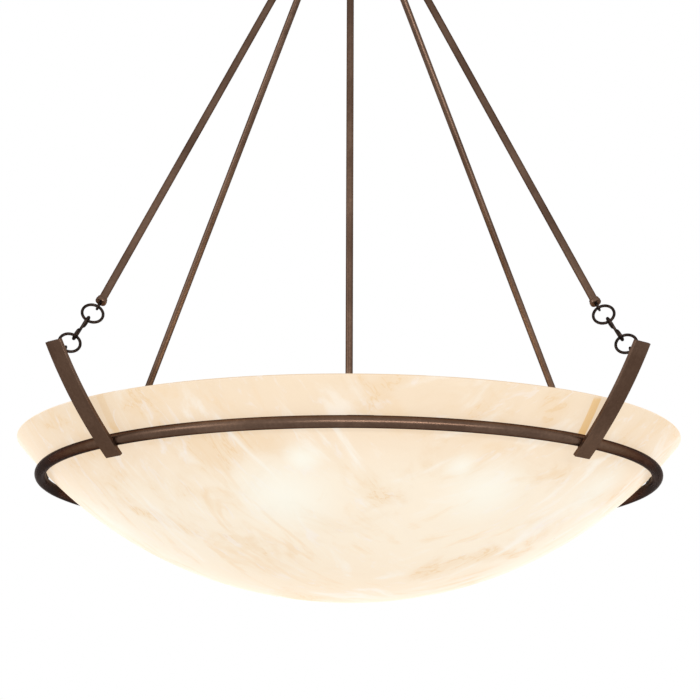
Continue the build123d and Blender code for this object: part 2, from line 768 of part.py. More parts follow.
socket_start = socket_arm_reach - socket_base
socket_end = socket_start + socket_length
bulb_start = socket_end - socket_bore_depth + seat_gap
arm_start = cluster_radius - cluster_wall - socket_base

with BuildPart() as socket_arms:
    for index in range(lamp_count):
        outward = radial(index * 360 / lamp_count)
        arm_origin = outward * arm_start + Vector(0, 0, cluster_z)
        with BuildSketch(Plane(origin=arm_origin, x_dir=Vector(0, 0, 1), z_dir=outward)):
            Circle(socket_arm_diameter / 2)
            Circle(socket_arm_bore / 2, mode=Mode.SUBTRACT)
        extrude(amount=socket_arm_reach - arm_start)
save(socket_arms.part, "socket_arms")


def make_socket(azimuth):
    """A lamp socket: a deep cup on the end of its arm."""
    outward = radial(azimuth)
    upward = Vector(0, 0, 1)
    start_origin = outward * socket_start + Vector(0, 0, cluster_z)
    floor_origin = outward * (socket_end - socket_bore_depth) + Vector(0, 0, cluster_z)
    with BuildPart() as socket:
        with BuildSketch(Plane(origin=start_origin, x_dir=upward, z_dir=outward)):
            Circle(socket_radius)
        extrude(amount=socket_length)
        chamfer(socket.edges().filter_by(GeomType.CIRCLE), length=socket_base / 4)
        with BuildSketch(Plane(origin=start_origin, x_dir=upward, z_dir=outward)):
            Circle(socket_arm_diameter / 2 + thread_gap)
        extrude(amount=socket_base, mode=Mode.SUBTRACT)
        with BuildSketch(Plane(origin=start_origin, x_dir=upward, z_dir=outward)):
            Circle(socket_arm_bore / 2)
        extrude(amount=socket_length, mode=Mode.SUBTRACT)
        with BuildSketch(Plane(origin=floor_origin, x_dir=upward, z_dir=outward)):
            Circle(socket_bore_radius)
        extrude(amount=socket_bore_depth, mode=Mode.SUBTRACT)
    return socket.part


def make_bulb(azimuth):
    """A round bulb with its screw base, turned about its own axis."""
    globe_centre = bulb_start + bulb_length - bulb_radius
    neck_end = bulb_start + bulb_base_length
    slope = math.asin((bulb_radius - bulb_neck_radius) / (globe_centre - neck_end))
    meet_distance = globe_centre - bulb_radius * math.sin(slope)
    meet_radius = bulb_radius * math.cos(slope)
    front = globe_centre + bulb_radius * math.cos(math.radians(45))
    front_radius = bulb_radius * math.sin(math.radians(45))
    section = Plane(origin=(0, 0, cluster_z), x_dir=radial(azimuth), z_dir=tangent(azimuth) * -1)
    with BuildPart() as bulb:
        with BuildSketch(section):
            with BuildLine():
                Polyline(
                    (bulb_start, 0),
                    (bulb_start, bulb_base_radius),
                    (neck_end, bulb_base_radius),
                    (neck_end, bulb_neck_radius),
                    (meet_distance, meet_radius),
                )
                ThreePointArc(
                    (meet_distance, meet_radius),
                    (front, front_radius),
                    (globe_centre + bulb_radius, 0),
                )
                Line((globe_centre + bulb_radius, 0), (bulb_start, 0))
            make_face()
        revolve(axis=Axis(origin=(0, 0, cluster_z), direction=radial(azimuth)))
    return bulb.part


for index in range(lamp_count):
    azimuth = index * 360 / lamp_count
    save(make_socket(azimuth), f"socket_{index + 1}")
    save(make_bulb(azimuth), f"bulb_{index + 1}")
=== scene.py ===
"""Looks of a large bowl pendant light, built around its fixed frame.

Every length is in metres. The origin is the centre of the ceiling face, with +Z up.
"""

import logging
from contextlib import contextmanager
from dataclasses import dataclass, field
from enum import Enum
from functools import cached_property, reduce
from itertools import pairwise
from math import asin, atan2, cos, degrees, pi, radians, sin, sqrt
from typing import Iterator, Sequence

import bmesh
import bpy
from bpy.types import Material, Node, NodeSocket, Object, World
from mathutils import Matrix, Vector


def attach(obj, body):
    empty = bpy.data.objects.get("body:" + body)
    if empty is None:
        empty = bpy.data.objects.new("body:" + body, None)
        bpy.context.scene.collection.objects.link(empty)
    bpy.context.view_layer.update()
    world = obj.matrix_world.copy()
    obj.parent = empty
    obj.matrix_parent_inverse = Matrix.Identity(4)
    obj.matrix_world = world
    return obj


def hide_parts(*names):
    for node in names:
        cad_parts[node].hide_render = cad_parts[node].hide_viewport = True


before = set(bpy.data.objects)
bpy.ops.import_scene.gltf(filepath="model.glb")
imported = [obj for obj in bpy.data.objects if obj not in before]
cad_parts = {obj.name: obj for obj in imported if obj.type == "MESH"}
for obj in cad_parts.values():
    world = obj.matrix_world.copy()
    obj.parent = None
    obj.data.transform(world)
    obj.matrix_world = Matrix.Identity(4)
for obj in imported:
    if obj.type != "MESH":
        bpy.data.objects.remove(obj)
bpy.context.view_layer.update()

LOG = logging.getLogger("pendant")

Point = tuple[float, float]
Triple = tuple[float, float, float]
Colour = Triple

SMOOTH_ANGLE = 32.0
ROUND_SMOOTH_ANGLE = 40.0
WELD_SMOOTH_ANGLE = 60.0
BEVEL_ANGLE = 35.0
MERGE_DISTANCE = 1e-6
GRAIN_DEPTH = 0.00003
MIDDLE_BAND = (0.35, 0.65)
WHITE = (1.0, 1.0, 1.0)
UPWARDS = Vector((0, 0, 1))


# Layout: the driving sizes, and the places that follow from them

class Corner(Enum):
    """The four rods, each with its azimuth and the turn of its chain, in degrees."""

    FRONT_LEFT = ("front_left", 225.0, 55.0)
    FRONT_RIGHT = ("front_right", 315.0, -55.0)
    BACK_RIGHT = ("back_right", 45.0, 55.0)
    BACK_LEFT = ("back_left", 135.0, -55.0)

    def __init__(self, label: str, azimuth: float, turn: float) -> None:
        """Keeps the name that the nodes have, and the two angles in radians."""
        self.label = label
        self.azimuth = radians(azimuth)
        self.turn = radians(turn)


@dataclass(frozen=True)
class Layout:
    """The pendant's driving sizes, and the places along a rod and its chain."""

    rim_z: float = -1.240
    apex_z: float = -0.081
    bowl_radius: float = 0.6096
    bowl_depth: float = 0.287
    bowl_wall: float = 0.006
    ring_inset: float = 0.0446
    chain_angle: float = radians(39)
    seat_gap: float = 0.0003
    thread_gap: float = 0.0001
    rod_radius: float = 0.00685
    chain_radius: float = 0.018
    wire_radius: float = 0.0025
    lug_reach: float = 0.046
    lug_hole_radius: float = 0.0055
    lug_half_land: float = 0.0015
    top_eye_radius: float = 0.007
    top_eye_wire: float = 0.0045
    low_eye_radius: float = 0.0055
    low_eye_wire: float = 0.004
    neck_length: float = 0.0008
    hook_radius: float = 0.009
    hook_pitch: float = 0.032
    arm_eye_radius: float = 0.0075
    arm_eye_wire: float = 0.005
    arm_eye_standoff: float = 0.0085
    arm_eye_from_top: float = 0.0233
    arm_thickness: float = 0.00635
    arm_bend_radius: float = 0.753
    arm_lean: float = radians(1.04)
    arm_below_ring: float = 0.024
    arm_above_ring: float = 0.202
    arm_saddle_depth: float = 0.0006
    ring_tube_radius: float = 0.01065
    pad_thickness: float = 0.002
    cluster_drop: float = 0.042

    @property
    def sphere(self) -> float:
        """Radius of the bowl's outer sphere."""
        return (self.bowl_radius**2 + self.bowl_depth**2) / (2 * self.bowl_depth)

    @property
    def sphere_z(self) -> float:
        """Height of the centre of the bowl's spheres."""
        return self.rim_z - self.bowl_depth + self.sphere

    @property
    def ring_radius(self) -> float:
        """Radius of the support ring's centreline."""
        return self.bowl_radius - self.ring_inset

    @property
    def ring_z(self) -> float:
        """Height of the support ring's centreline."""
        reach = self.sphere + self.seat_gap + self.pad_thickness + self.ring_tube_radius
        return self.sphere_z - sqrt(reach**2 - self.ring_radius**2)

    @property
    def arm_inner_radius(self) -> float:
        """Bend radius of an arm's inner face."""
        return self.arm_bend_radius - self.arm_thickness

    @property
    def arm_ring_angle(self) -> float:
        """Angle below level at which an arm crosses the ring, about its bend."""
        return atan2(self.sphere_z - self.ring_z, self.ring_radius) - self.arm_lean

    @property
    def arm_ends(self) -> Point:
        """Angles below level of an arm's lower and upper end, about its bend."""
        angle, bend = self.arm_ring_angle, self.arm_bend_radius
        return angle + self.arm_below_ring / bend, angle - self.arm_above_ring / bend

    @property
    def arm_bend(self) -> Point:
        """Centre of an arm's bend, as (radius, height)."""
        reach = self.arm_inner_radius - self.ring_tube_radius + self.arm_saddle_depth
        angle = self.arm_ring_angle
        return self.ring_radius - reach * cos(angle), self.ring_z + reach * sin(angle)

    @property
    def cluster_z(self) -> float:
        """Height of the lamps."""
        return self.rim_z - self.cluster_drop

    @property
    def upper_ring(self) -> float:
        """Distance from the low eye to the centre of the upper chain ring."""
        seat = self.low_eye_radius - self.low_eye_wire / 2 - self.wire_radius - self.seat_gap
        return seat + self.chain_radius

    @property
    def hook_seat(self) -> float:
        """Distance from a hook's centre to the centre of the ring wire in it."""
        return self.hook_radius - 2 * self.wire_radius - self.seat_gap

    @property
    def hook(self) -> float:
        """Distance from the low eye to the middle of the S hook."""
        return self.upper_ring + self.chain_radius + self.hook_seat + self.hook_pitch / 2

    @property
    def lower_ring(self) -> float:
        """Distance from the low eye to the centre of the lower chain ring."""
        return self.hook + self.hook_pitch / 2 + self.hook_seat + self.chain_radius

    @property
    def arm_eye(self) -> float:
        """Distance from the low eye to the centre of the arm's eye."""
        seat = self.arm_eye_radius - self.arm_eye_wire / 2 - self.wire_radius - self.seat_gap
        return self.lower_ring + self.chain_radius + seat

    @property
    def low_eye(self) -> Point:
        """Centre of the eye under a rod, as (radius, height)."""
        angle = self.arm_ends[1] + self.arm_eye_from_top / self.arm_bend_radius
        reach = self.arm_inner_radius - self.arm_eye_standoff
        bend_r, bend_z = self.arm_bend
        return (bend_r + reach * cos(angle) - self.arm_eye * sin(self.chain_angle),
                bend_z - reach * sin(angle) + self.arm_eye * cos(self.chain_angle))

    @property
    def rod_angle(self) -> float:
        """Lean of the rods from upright."""
        return atan2(self.low_eye[0], self.apex_z - self.low_eye[1])

    @property
    def top_face(self) -> float:
        """Distance along a rod's line to the outer face of its upper ferrule."""
        drop = self.top_eye_radius - sqrt(self.top_eye_radius**2 - self.lug_half_land**2)
        contact = self.lug_reach / sin(self.rod_angle) + self.lug_hole_radius
        eye = contact - self.top_eye_wire / 2 - self.seat_gap - drop + self.top_eye_radius
        return eye + self.top_eye_radius + self.top_eye_wire / 2 + self.neck_length

    @property
    def low_face(self) -> float:
        """Distance along a rod's line to the outer face of its lower ferrule."""
        eye = self.low_eye[0] / sin(self.rod_angle)
        return eye - self.low_eye_radius - self.low_eye_wire / 2 - self.neck_length

    def radial(self, azimuth: float) -> Vector:
        """Unit vector from the axis outwards."""
        return Vector((cos(azimuth), sin(azimuth), 0))

    def tangent(self, azimuth: float) -> Vector:
        """Unit vector along the ring."""
        return Vector((-sin(azimuth), cos(azimuth), 0))

    def down_line(self, azimuth: float, lean: float) -> Vector:
        """Unit vector down a line that leans out from upright."""
        return self.radial(azimuth) * sin(lean) - UPWARDS * cos(lean)

    def off_line(self, azimuth: float, lean: float) -> Vector:
        """Unit vector square to such a line, in its own upright plane."""
        return self.radial(azimuth) * cos(lean) + UPWARDS * sin(lean)

    def on_rod(self, azimuth: float, distance: float) -> Vector:
        """Point on a rod's line."""
        return UPWARDS * self.apex_z + self.down_line(azimuth, self.rod_angle) * distance

    def on_chain(self, azimuth: float, distance: float) -> Vector:
        """Point on a chain's line, from the eye under the rod."""
        start = self.radial(azimuth) * self.low_eye[0] + UPWARDS * self.low_eye[1]
        return start + self.down_line(azimuth, self.chain_angle) * distance

    def link_sides(self, corner: Corner, lean: float) -> tuple[Vector, Vector]:
        """Normals of a corner's two kinds of link, turned about a line that leans out.

        Args:
            corner: The corner that the chain hangs at.
            lean: The line's lean from upright.

        Returns:
            The normal of the rings, and the normal of the hook.
        """
        across = self.off_line(corner.azimuth, lean)
        along = self.tangent(corner.azimuth)
        ring_side = across * cos(corner.turn) + along * sin(corner.turn)
        hook_side = along * cos(corner.turn) - across * sin(corner.turn)
        return ring_side, hook_side


LAYOUT = Layout()


def lay_on(origin: Vector, x_dir: Vector, z_dir: Vector) -> Matrix:
    """Matrix that lays a piece's own X and Z along two directions.

    Args:
        origin: Where the piece's origin goes.
        x_dir: Direction of the piece's X.
        z_dir: Direction of the piece's Z.

    Returns:
        The placing matrix.
    """
    z_axis = z_dir.normalized()
    y_axis = z_axis.cross(x_dir).normalized()
    x_axis = y_axis.cross(z_axis)
    turned = Matrix((x_axis, y_axis, z_axis)).transposed().to_4x4()
    return Matrix.Translation(origin) @ turned


# Workbench: modelling steps that every piece shares

def clear_selection() -> None:
    """Leaves edit mode and deselects everything."""
    if bpy.context.object and bpy.context.object.mode != "OBJECT":
        bpy.ops.object.mode_set(mode="OBJECT")
    bpy.ops.object.select_all(action="DESELECT")


def pick(piece: Object) -> None:
    """Makes one piece the only selected and active object."""
    clear_selection()
    piece.select_set(True)
    bpy.context.view_layer.objects.active = piece


@contextmanager
def shaping(piece: Object) -> Iterator[None]:
    """Holds a piece in edit mode with all of its mesh selected."""
    pick(piece)
    bpy.ops.object.mode_set(mode="EDIT")
    bpy.ops.mesh.select_all(action="SELECT")
    yield
    bpy.ops.object.mode_set(mode="OBJECT")


def take_new(name: str) -> Object:
    """Names the object that an operator has just added."""
    piece = bpy.context.object
    piece.name = name
    piece.data.name = name
    return piece


def tidy_shell(piece: Object, smooth_angle: float = SMOOTH_ANGLE) -> None:
    """Merges doubled points, turns all faces outwards and smooths the shading.

    Args:
        piece: The piece to tidy.
        smooth_angle: Edges sharper than this stay sharp, in degrees.
    """
    with shaping(piece):
        bpy.ops.mesh.remove_doubles(threshold=MERGE_DISTANCE)
        bpy.ops.mesh.normals_make_consistent(inside=False)
    pick(piece)
    bpy.ops.object.shade_smooth_by_angle(angle=radians(smooth_angle))


def put(piece: Object, place: Matrix) -> Object:
    """Moves a finished mesh to its place and leaves its object at the origin."""
    pick(piece)
    piece.matrix_world = place
    bpy.ops.object.transform_apply(location=True, rotation=True, scale=True)
    return piece


def copy_piece(piece: Object, name: str) -> Object:
    """Copies a piece with a mesh of its own."""
    twin = piece.copy()
    twin.data = piece.data.copy()
    twin.name = name
    twin.data.name = name
    bpy.context.scene.collection.objects.link(twin)
    return twin


def drop(piece: Object) -> None:
    """Deletes a pattern piece once its copies are made."""
    bpy.data.objects.remove(piece)


def turn_piece(name: str, profile: Sequence[Point], sides: int, ring: bool = False,
               smooth_angle: float = SMOOTH_ANGLE) -> Object:
    """Turns a profile about Z: a circle is extruded and resized from point to point.

    Args:
        name: Name of the new piece.
        profile: Points as (radius, height), in order along the outline.
        sides: Number of sides of every circle.
        ring: True closes the last circle onto the first, and False fills both ends.
        smooth_angle: Edges sharper than this stay sharp, in degrees.

    Returns:
        The closed piece.
    """
    clear_selection()
    radius, height = profile[0]
    bpy.ops.mesh.primitive_circle_add(vertices=sides, radius=radius, location=(0, 0, height))
    piece = take_new(name)
    bpy.ops.object.transform_apply(location=True, rotation=True, scale=True)
    with shaping(piece):
        if not ring:
            bpy.ops.mesh.edge_face_add()
            bpy.ops.mesh.select_mode(type="EDGE")
        for start, end in pairwise([*profile, profile[0]] if ring else profile):
            grow = end[0] / start[0]
            step = (0, 0, end[1] - start[1])
            bpy.ops.mesh.extrude_region_move(TRANSFORM_OT_translate={"value": step})
            bpy.ops.transform.resize(value=(grow, grow, 1), center_override=(0, 0, end[1]))
    tidy_shell(piece, smooth_angle)
    return piece


def torus_piece(name: str, radius: float, wire: float, around: int, across: int) -> Object:
    """Adds a torus in the XY plane.

    Args:
        name: Name of the new piece.
        radius: Radius of its centreline.
        wire: Radius of its wire.
        around: Segments along the centreline.
        across: Segments around the wire.

    Returns:
        The piece.
    """
    clear_selection()
    bpy.ops.mesh.primitive_torus_add(major_radius=radius, minor_radius=wire, major_segments=around,
                                     minor_segments=across)
    return take_new(name)


def arc_points(centre: Point, radius: float, start: float, end: float,
               steps: int) -> list[Point]:
    """Points along an arc of a profile.

    Args:
        centre: Centre of the arc, as (radius, height).
        radius: Radius of the arc.
        start: First angle from the outward direction, in degrees.
        end: Last angle, in degrees.
        steps: Number of steps between them.

    Returns:
        The points, both ends included.
    """
    angles = (radians(start + (end - start) * step / steps) for step in range(steps + 1))
    return [(centre[0] + radius * cos(a), centre[1] + radius * sin(a)) for a in angles]


def join_solid(piece: Object, other: Object, smooth_angle: float) -> None:
    """Fuses a second closed shape into a piece and deletes the second."""
    pick(piece)
    fuse = piece.modifiers.new("fuse", "BOOLEAN")
    fuse.operation = "UNION"
    fuse.solver = "EXACT"
    fuse.object = other
    bpy.ops.object.modifier_apply(modifier=fuse.name)
    drop(other)
    tidy_shell(piece, smooth_angle)


def soften_edges(piece: Object, width: float, segments: int) -> None:
    """Rounds a piece's sharp edges with an applied bevel."""
    pick(piece)
    bevel = piece.modifiers.new("bevel", "BEVEL")
    bevel.width = width
    bevel.segments = segments
    bevel.limit_method = "ANGLE"
    bevel.angle_limit = radians(BEVEL_ANGLE)
    bpy.ops.object.modifier_apply(modifier=bevel.name)
    bpy.ops.object.shade_smooth_by_angle(angle=radians(ROUND_SMOOTH_ANGLE))


def hand_over(piece: Object, body: str, material: Material, slot: str,
              *nodes: str) -> None:
    """Finishes a piece: its material, the body it rides on and the nodes it stands for.

    Args:
        piece: The finished piece, in place.
        body: The body that carries it.
        material: Its finish.
        slot: The record's material slot; not used.
        nodes: The nodes that it replaces, if any.
    """
    piece.data.materials.clear()
    piece.data.materials.append(material)
    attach(piece, body)
    if nodes:
        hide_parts(*nodes)
    LOG.info("%s on %s, %d faces", piece.name, body, len(piece.data.polygons))


def hand_copy(pattern: Object, name: str, place: Matrix, *details: object) -> None:
    """Copies a pattern to its place, and hands the copy over with hand_over's other details."""
    hand_over(put(copy_piece(pattern, name), place), *details)


def dress_node(node: str, material: Material) -> None:
    """Gives a kept node its finish."""
    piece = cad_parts[node]
    for holder in piece.material_slots:
        holder.material = material
    LOG.info("%s dressed", node)


# Shader maths

class Signal:
    """A number socket of a material, with operators that add Math nodes."""

    def __init__(self, sheet: "Sheet", socket: NodeSocket) -> None:
        """Wraps one output socket."""
        self.sheet = sheet
        self.socket = socket

    def _math(self, operation: str, first: object, second: object) -> "Signal":
        """Adds one Math node."""
        made = self.sheet.node("Math", {0: first, 1: second}, operation=operation)
        return Signal(self.sheet, made.outputs[0])

    def __add__(self, other: object) -> "Signal":
        """Sum."""
        return self._math("ADD", self, other)

    __radd__ = __add__

    def __sub__(self, other: object) -> "Signal":
        """Difference."""
        return self._math("SUBTRACT", self, other)

    def __rsub__(self, other: object) -> "Signal":
        """Difference, reflected."""
        return self._math("SUBTRACT", other, self)

    def __mul__(self, other: object) -> "Signal":
        """Product."""
        return self._math("MULTIPLY", self, other)

    __rmul__ = __mul__

    def highest(self, other: object) -> "Signal":
        """The larger of two values."""
        return self._math("MAXIMUM", self, other)

    def between(self, low: float, high: float) -> "Signal":
        """A smooth mask that goes from 0 at low to 1 at high."""
        sockets = {"Value": self, "From Min": low, "From Max": high, "To Min": 0.0, "To Max": 1.0}
        made = self.sheet.node("MapRange", sockets, interpolation_type="SMOOTHSTEP")
        return Signal(self.sheet, made.outputs[0])


@dataclass(frozen=True)
class Noise:
    """Numbers of a noise pattern: cells to the metre, octaves, strength of the fine ones, warp."""

    scale: float
    detail: float = 3.0
    rough: float = 0.5
    warp: float = 0.0


class Sheet:
    """The node sheet of a material or of the world."""

    def __init__(self, owner: Material | World) -> None:
        """Empties the owner's sheet."""
        self.owner = owner
        owner.use_nodes = True
        self.tree = owner.node_tree
        self.tree.nodes.clear()

    @cached_property
    def place(self) -> NodeSocket:
        """Object coordinates."""
        return self.node("TexCoord").outputs["Object"]

    def node(self, kind: str, sockets: dict[object, object] | None = None,
             **settings: object) -> Node:
        """Adds a node.

        Args:
            kind: The node's type, without the words that all types start with.
            sockets: Values or links for its inputs, by name or number.
            **settings: Its properties, set first.

        Returns:
            The new node.
        """
        made = self.tree.nodes.new("ShaderNode" + kind)
        for key, value in settings.items():
            setattr(made, key, value)
        for key, value in (sockets or {}).items():
            source = value.socket if isinstance(value, Signal) else value
            target = made.inputs[key]
            if isinstance(source, NodeSocket):
                self.tree.links.new(source, target)
            else:
                target.default_value = (*source, 1.0) if target.type == "RGBA" else source
        return made

    def mapped(self, turn: Triple = (0, 0, 0), draw: Triple = (1, 1, 1),
               centre: Triple = (0, 0, 0)) -> NodeSocket:
        """Object coordinates on axes of their own.

        Args:
            turn: Turn of the axes, in degrees.
            draw: How far a pattern is drawn out along each of them.
            centre: Where they start.

        Returns:
            The coordinates.
        """
        sockets = {"Vector": self.place, "Location": centre, "Scale": draw,
                   "Rotation": tuple(radians(angle) for angle in turn)}
        return self.node("Mapping", sockets, vector_type="TEXTURE").outputs[0]

    def split(self, place: NodeSocket) -> list[Signal]:
        """The three numbers of a set of coordinates."""
        return [Signal(self, output) for output in self.node("SeparateXYZ", {0: place}).outputs]

    def ramp(self, factor: Signal, *stops: tuple[float, Colour]) -> NodeSocket:
        """A colour ramp.

        Args:
            factor: Where on the ramp a point is.
            *stops: Each stop's position and colour, in order.

        Returns:
            The colour.
        """
        made = self.node("ValToRGB", {0: factor})
        elements = made.color_ramp.elements
        while len(elements) < len(stops):
            elements.new(1.0)
        for element, (position, colour) in zip(elements, stops):
            element.position = position
            element.color = (*colour, 1.0)
        return made.outputs[0]

    def noise(self, place: NodeSocket, noise: Noise) -> Signal:
        """A noise pattern on some coordinates, from 0 to 1."""
        sockets = {"Vector": place, "Scale": noise.scale, "Detail": noise.detail,
                   "Roughness": noise.rough, "Distortion": noise.warp}
        return Signal(self, self.node("TexNoise", sockets, noise_dimensions="3D").outputs[0])

    def distance(self, point: Triple) -> Signal:
        """Distance from a point."""
        made = self.node("VectorMath", {0: self.place, 1: point}, operation="DISTANCE")
        return Signal(self, made.outputs["Value"])

    def mix(self, factor: Signal, low: object, high: object) -> NodeSocket:
        """A mix of two colours."""
        return self.node("Mix", {0: factor, 6: low, 7: high}, data_type="RGBA").outputs[2]

    def bump(self, height: Signal, depth: float, strength: float) -> NodeSocket:
        """A bumped normal, with its depth in metres."""
        sockets = {"Height": height, "Distance": depth, "Strength": strength}
        return self.node("Bump", sockets).outputs[0]

    def close(self, sockets: dict[str, object]) -> Material:
        """Adds the surface shader with its inputs, and ends the sheet."""
        shader = self.node("BsdfPrincipled", sockets)
        self.node("OutputMaterial", {0: shader.outputs[0]})
        return self.owner


def paint(red: int, green: int, blue: int) -> Colour:
    """A colour given in display values of 0 to 255, as linear light."""
    parts = (value / 255 for value in (red, green, blue))
    return tuple(p / 12.92 if p <= 0.04045 else ((p + 0.055) / 1.055) ** 2.4 for p in parts)


# Finishes

@dataclass(frozen=True)
class BronzePaint:
    """Satin dark bronze with a faint mottle, a fine grain and dark turned-away edges."""

    name: str = "bronze_paint"
    light: Colour = paint(108, 86, 72)
    dark: Colour = paint(88, 68, 56)
    rubbed: Colour = paint(134, 103, 82)
    edge: Colour = (0.16, 0.11, 0.09)
    metallic: float = 0.92
    rough_low: float = 0.27
    rough_high: float = 0.37
    cloud: Noise = Noise(7.0, 4.0, 0.55, 0.4)
    speck: Noise = Noise(190.0, 3.0, 0.6)
    grain: Noise = Noise(900.0, 2.0, 0.5)

    def make(self) -> Material:
        """Builds the material."""
        sheet = Sheet(bpy.data.materials.new(self.name))
        cloud, speck, grain = (sheet.noise(sheet.place, noise)
                               for noise in (self.cloud, self.speck, self.grain))
        tone = sheet.mix((cloud * 0.75 + speck * 0.25).between(*MIDDLE_BAND), self.dark, self.light)
        worn = (cloud * 0.5 + speck * 0.5).between(0.56, 0.72) * 0.4
        spread = (speck * 0.6 + cloud * 0.4).between(0.3, 0.7)
        return sheet.close({
            "Base Color": sheet.mix(worn, tone, self.rubbed), "Metallic": self.metallic,
            "Roughness": self.rough_low + spread * (self.rough_high - self.rough_low),
            "Specular Tint": self.edge, "Normal": sheet.bump(grain + speck * 0.8, GRAIN_DEPTH, 0.3),
        })


@dataclass(frozen=True)
class MottledFinish:
    """A finish of two mottled tones, whose mottle also roughens it, with a fine bump."""

    name: str
    dark: Colour
    light: Colour
    mottle: Noise
    grain: Noise
    rough_low: float
    rough_rise: float
    bump_depth: float
    bump_strength: float
    band: Point = MIDDLE_BAND
    constants: tuple[tuple[str, object], ...] = ()

    def make(self) -> Material:
        """Builds the material."""
        sheet = Sheet(bpy.data.materials.new(self.name))
        mottle = sheet.noise(sheet.place, self.mottle)
        grain = sheet.noise(sheet.place, self.grain)
        return sheet.close({
            "Base Color": sheet.mix(mottle.between(*self.band), self.dark, self.light),
            "Roughness": self.rough_low + mottle * self.rough_rise,
            "Normal": sheet.bump(grain, self.bump_depth, self.bump_strength),
            **dict(self.constants),
        })


# Near-black satin finish of the rings, hooks and eyes
DARK_WIRE = MottledFinish(
    "dark_wire", paint(34, 28, 25), paint(58, 47, 42), Noise(220.0, 4.0, 0.6), Noise(1200.0, 2.0),
    rough_low=0.3, rough_rise=0.16, bump_depth=GRAIN_DEPTH, bump_strength=0.4,
    constants=(("Metallic", 0.9), ("Specular Tint", (0.12, 0.09, 0.08))))
# Plain brass of the lamp bases
BRASS_SHELL = MottledFinish(
    "brass_shell", (0.58, 0.42, 0.18), (0.80, 0.62, 0.30), Noise(140.0, warp=0.4),
    Noise(140.0, warp=0.4), rough_low=0.2, rough_rise=0.16, bump_depth=GRAIN_DEPTH,
    bump_strength=0.3, constants=(("Metallic", 1.0),))
# Glazed white ceramic of the sockets
SOCKET_CERAMIC = MottledFinish(
    "socket_ceramic", (0.76, 0.72, 0.64), (0.86, 0.83, 0.76), Noise(70.0, 4.0, 0.6, 0.5),
    Noise(500.0, 2.0), rough_low=0.3, rough_rise=0.1, bump_depth=0.00004, bump_strength=0.2,
    band=(0.3, 0.7), constants=(("Coat Weight", 0.6), ("Coat Roughness", 0.08)))
# Matte black rubber of the bowl's pads
PAD_RUBBER = MottledFinish(
    "pad_rubber", (0.015, 0.014, 0.013), (0.035, 0.033, 0.031), Noise(700.0, rough=0.6),
    Noise(700.0, rough=0.6), rough_low=0.72, rough_rise=0.16, bump_depth=0.00008,
    bump_strength=0.5, band=(0.3, 0.7))


@dataclass(frozen=True)
class ZincSteel:
    """Zinc-plated steel of the hidden ironwork, with drawn streaks."""

    name: str = "zinc_steel"
    light: Colour = (0.66, 0.66, 0.63)
    dark: Colour = (0.46, 0.46, 0.45)
    streaks: Noise = Noise(90.0, 4.0, 0.6)
    cloud: Noise = Noise(60.0, warp=0.6)

    def make(self) -> Material:
        """Builds the material."""
        sheet = Sheet(bpy.data.materials.new(self.name))
        drawn = sheet.noise(sheet.mapped(draw=(1, 1, 0.1)), self.streaks)
        cloud = sheet.noise(sheet.place, self.cloud)
        mottle = (drawn * 0.5 + cloud * 0.5).between(*MIDDLE_BAND)
        return sheet.close({
            "Base Color": sheet.mix(mottle, self.dark, self.light), "Metallic": 1.0,
            "Roughness": 0.28 + cloud * 0.22, "Normal": sheet.bump(drawn, GRAIN_DEPTH, 0.3),
        })


@dataclass(frozen=True)
class LampGlass:
    """Frosted glass of a lit bulb."""

    name: str = "lamp_glass"
    frost: tuple[Colour, Colour] = ((0.9, 0.87, 0.8), (0.97, 0.95, 0.9))
    warm: Colour = (1.0, 0.80, 0.55)
    pale: Colour = (1.0, 0.90, 0.74)
    light: float = 8.0
    cloud: Noise = Noise(30.0, 2.0)

    def make(self) -> Material:
        """Builds the material."""
        sheet = Sheet(bpy.data.materials.new(self.name))
        cloud = sheet.noise(sheet.place, self.cloud)
        return sheet.close({
            "Base Color": sheet.mix(cloud, *self.frost), "Roughness": 0.35 + cloud * 0.1,
            "Emission Color": sheet.mix(cloud, self.warm, self.pale),
            "Emission Strength": self.light,
        })


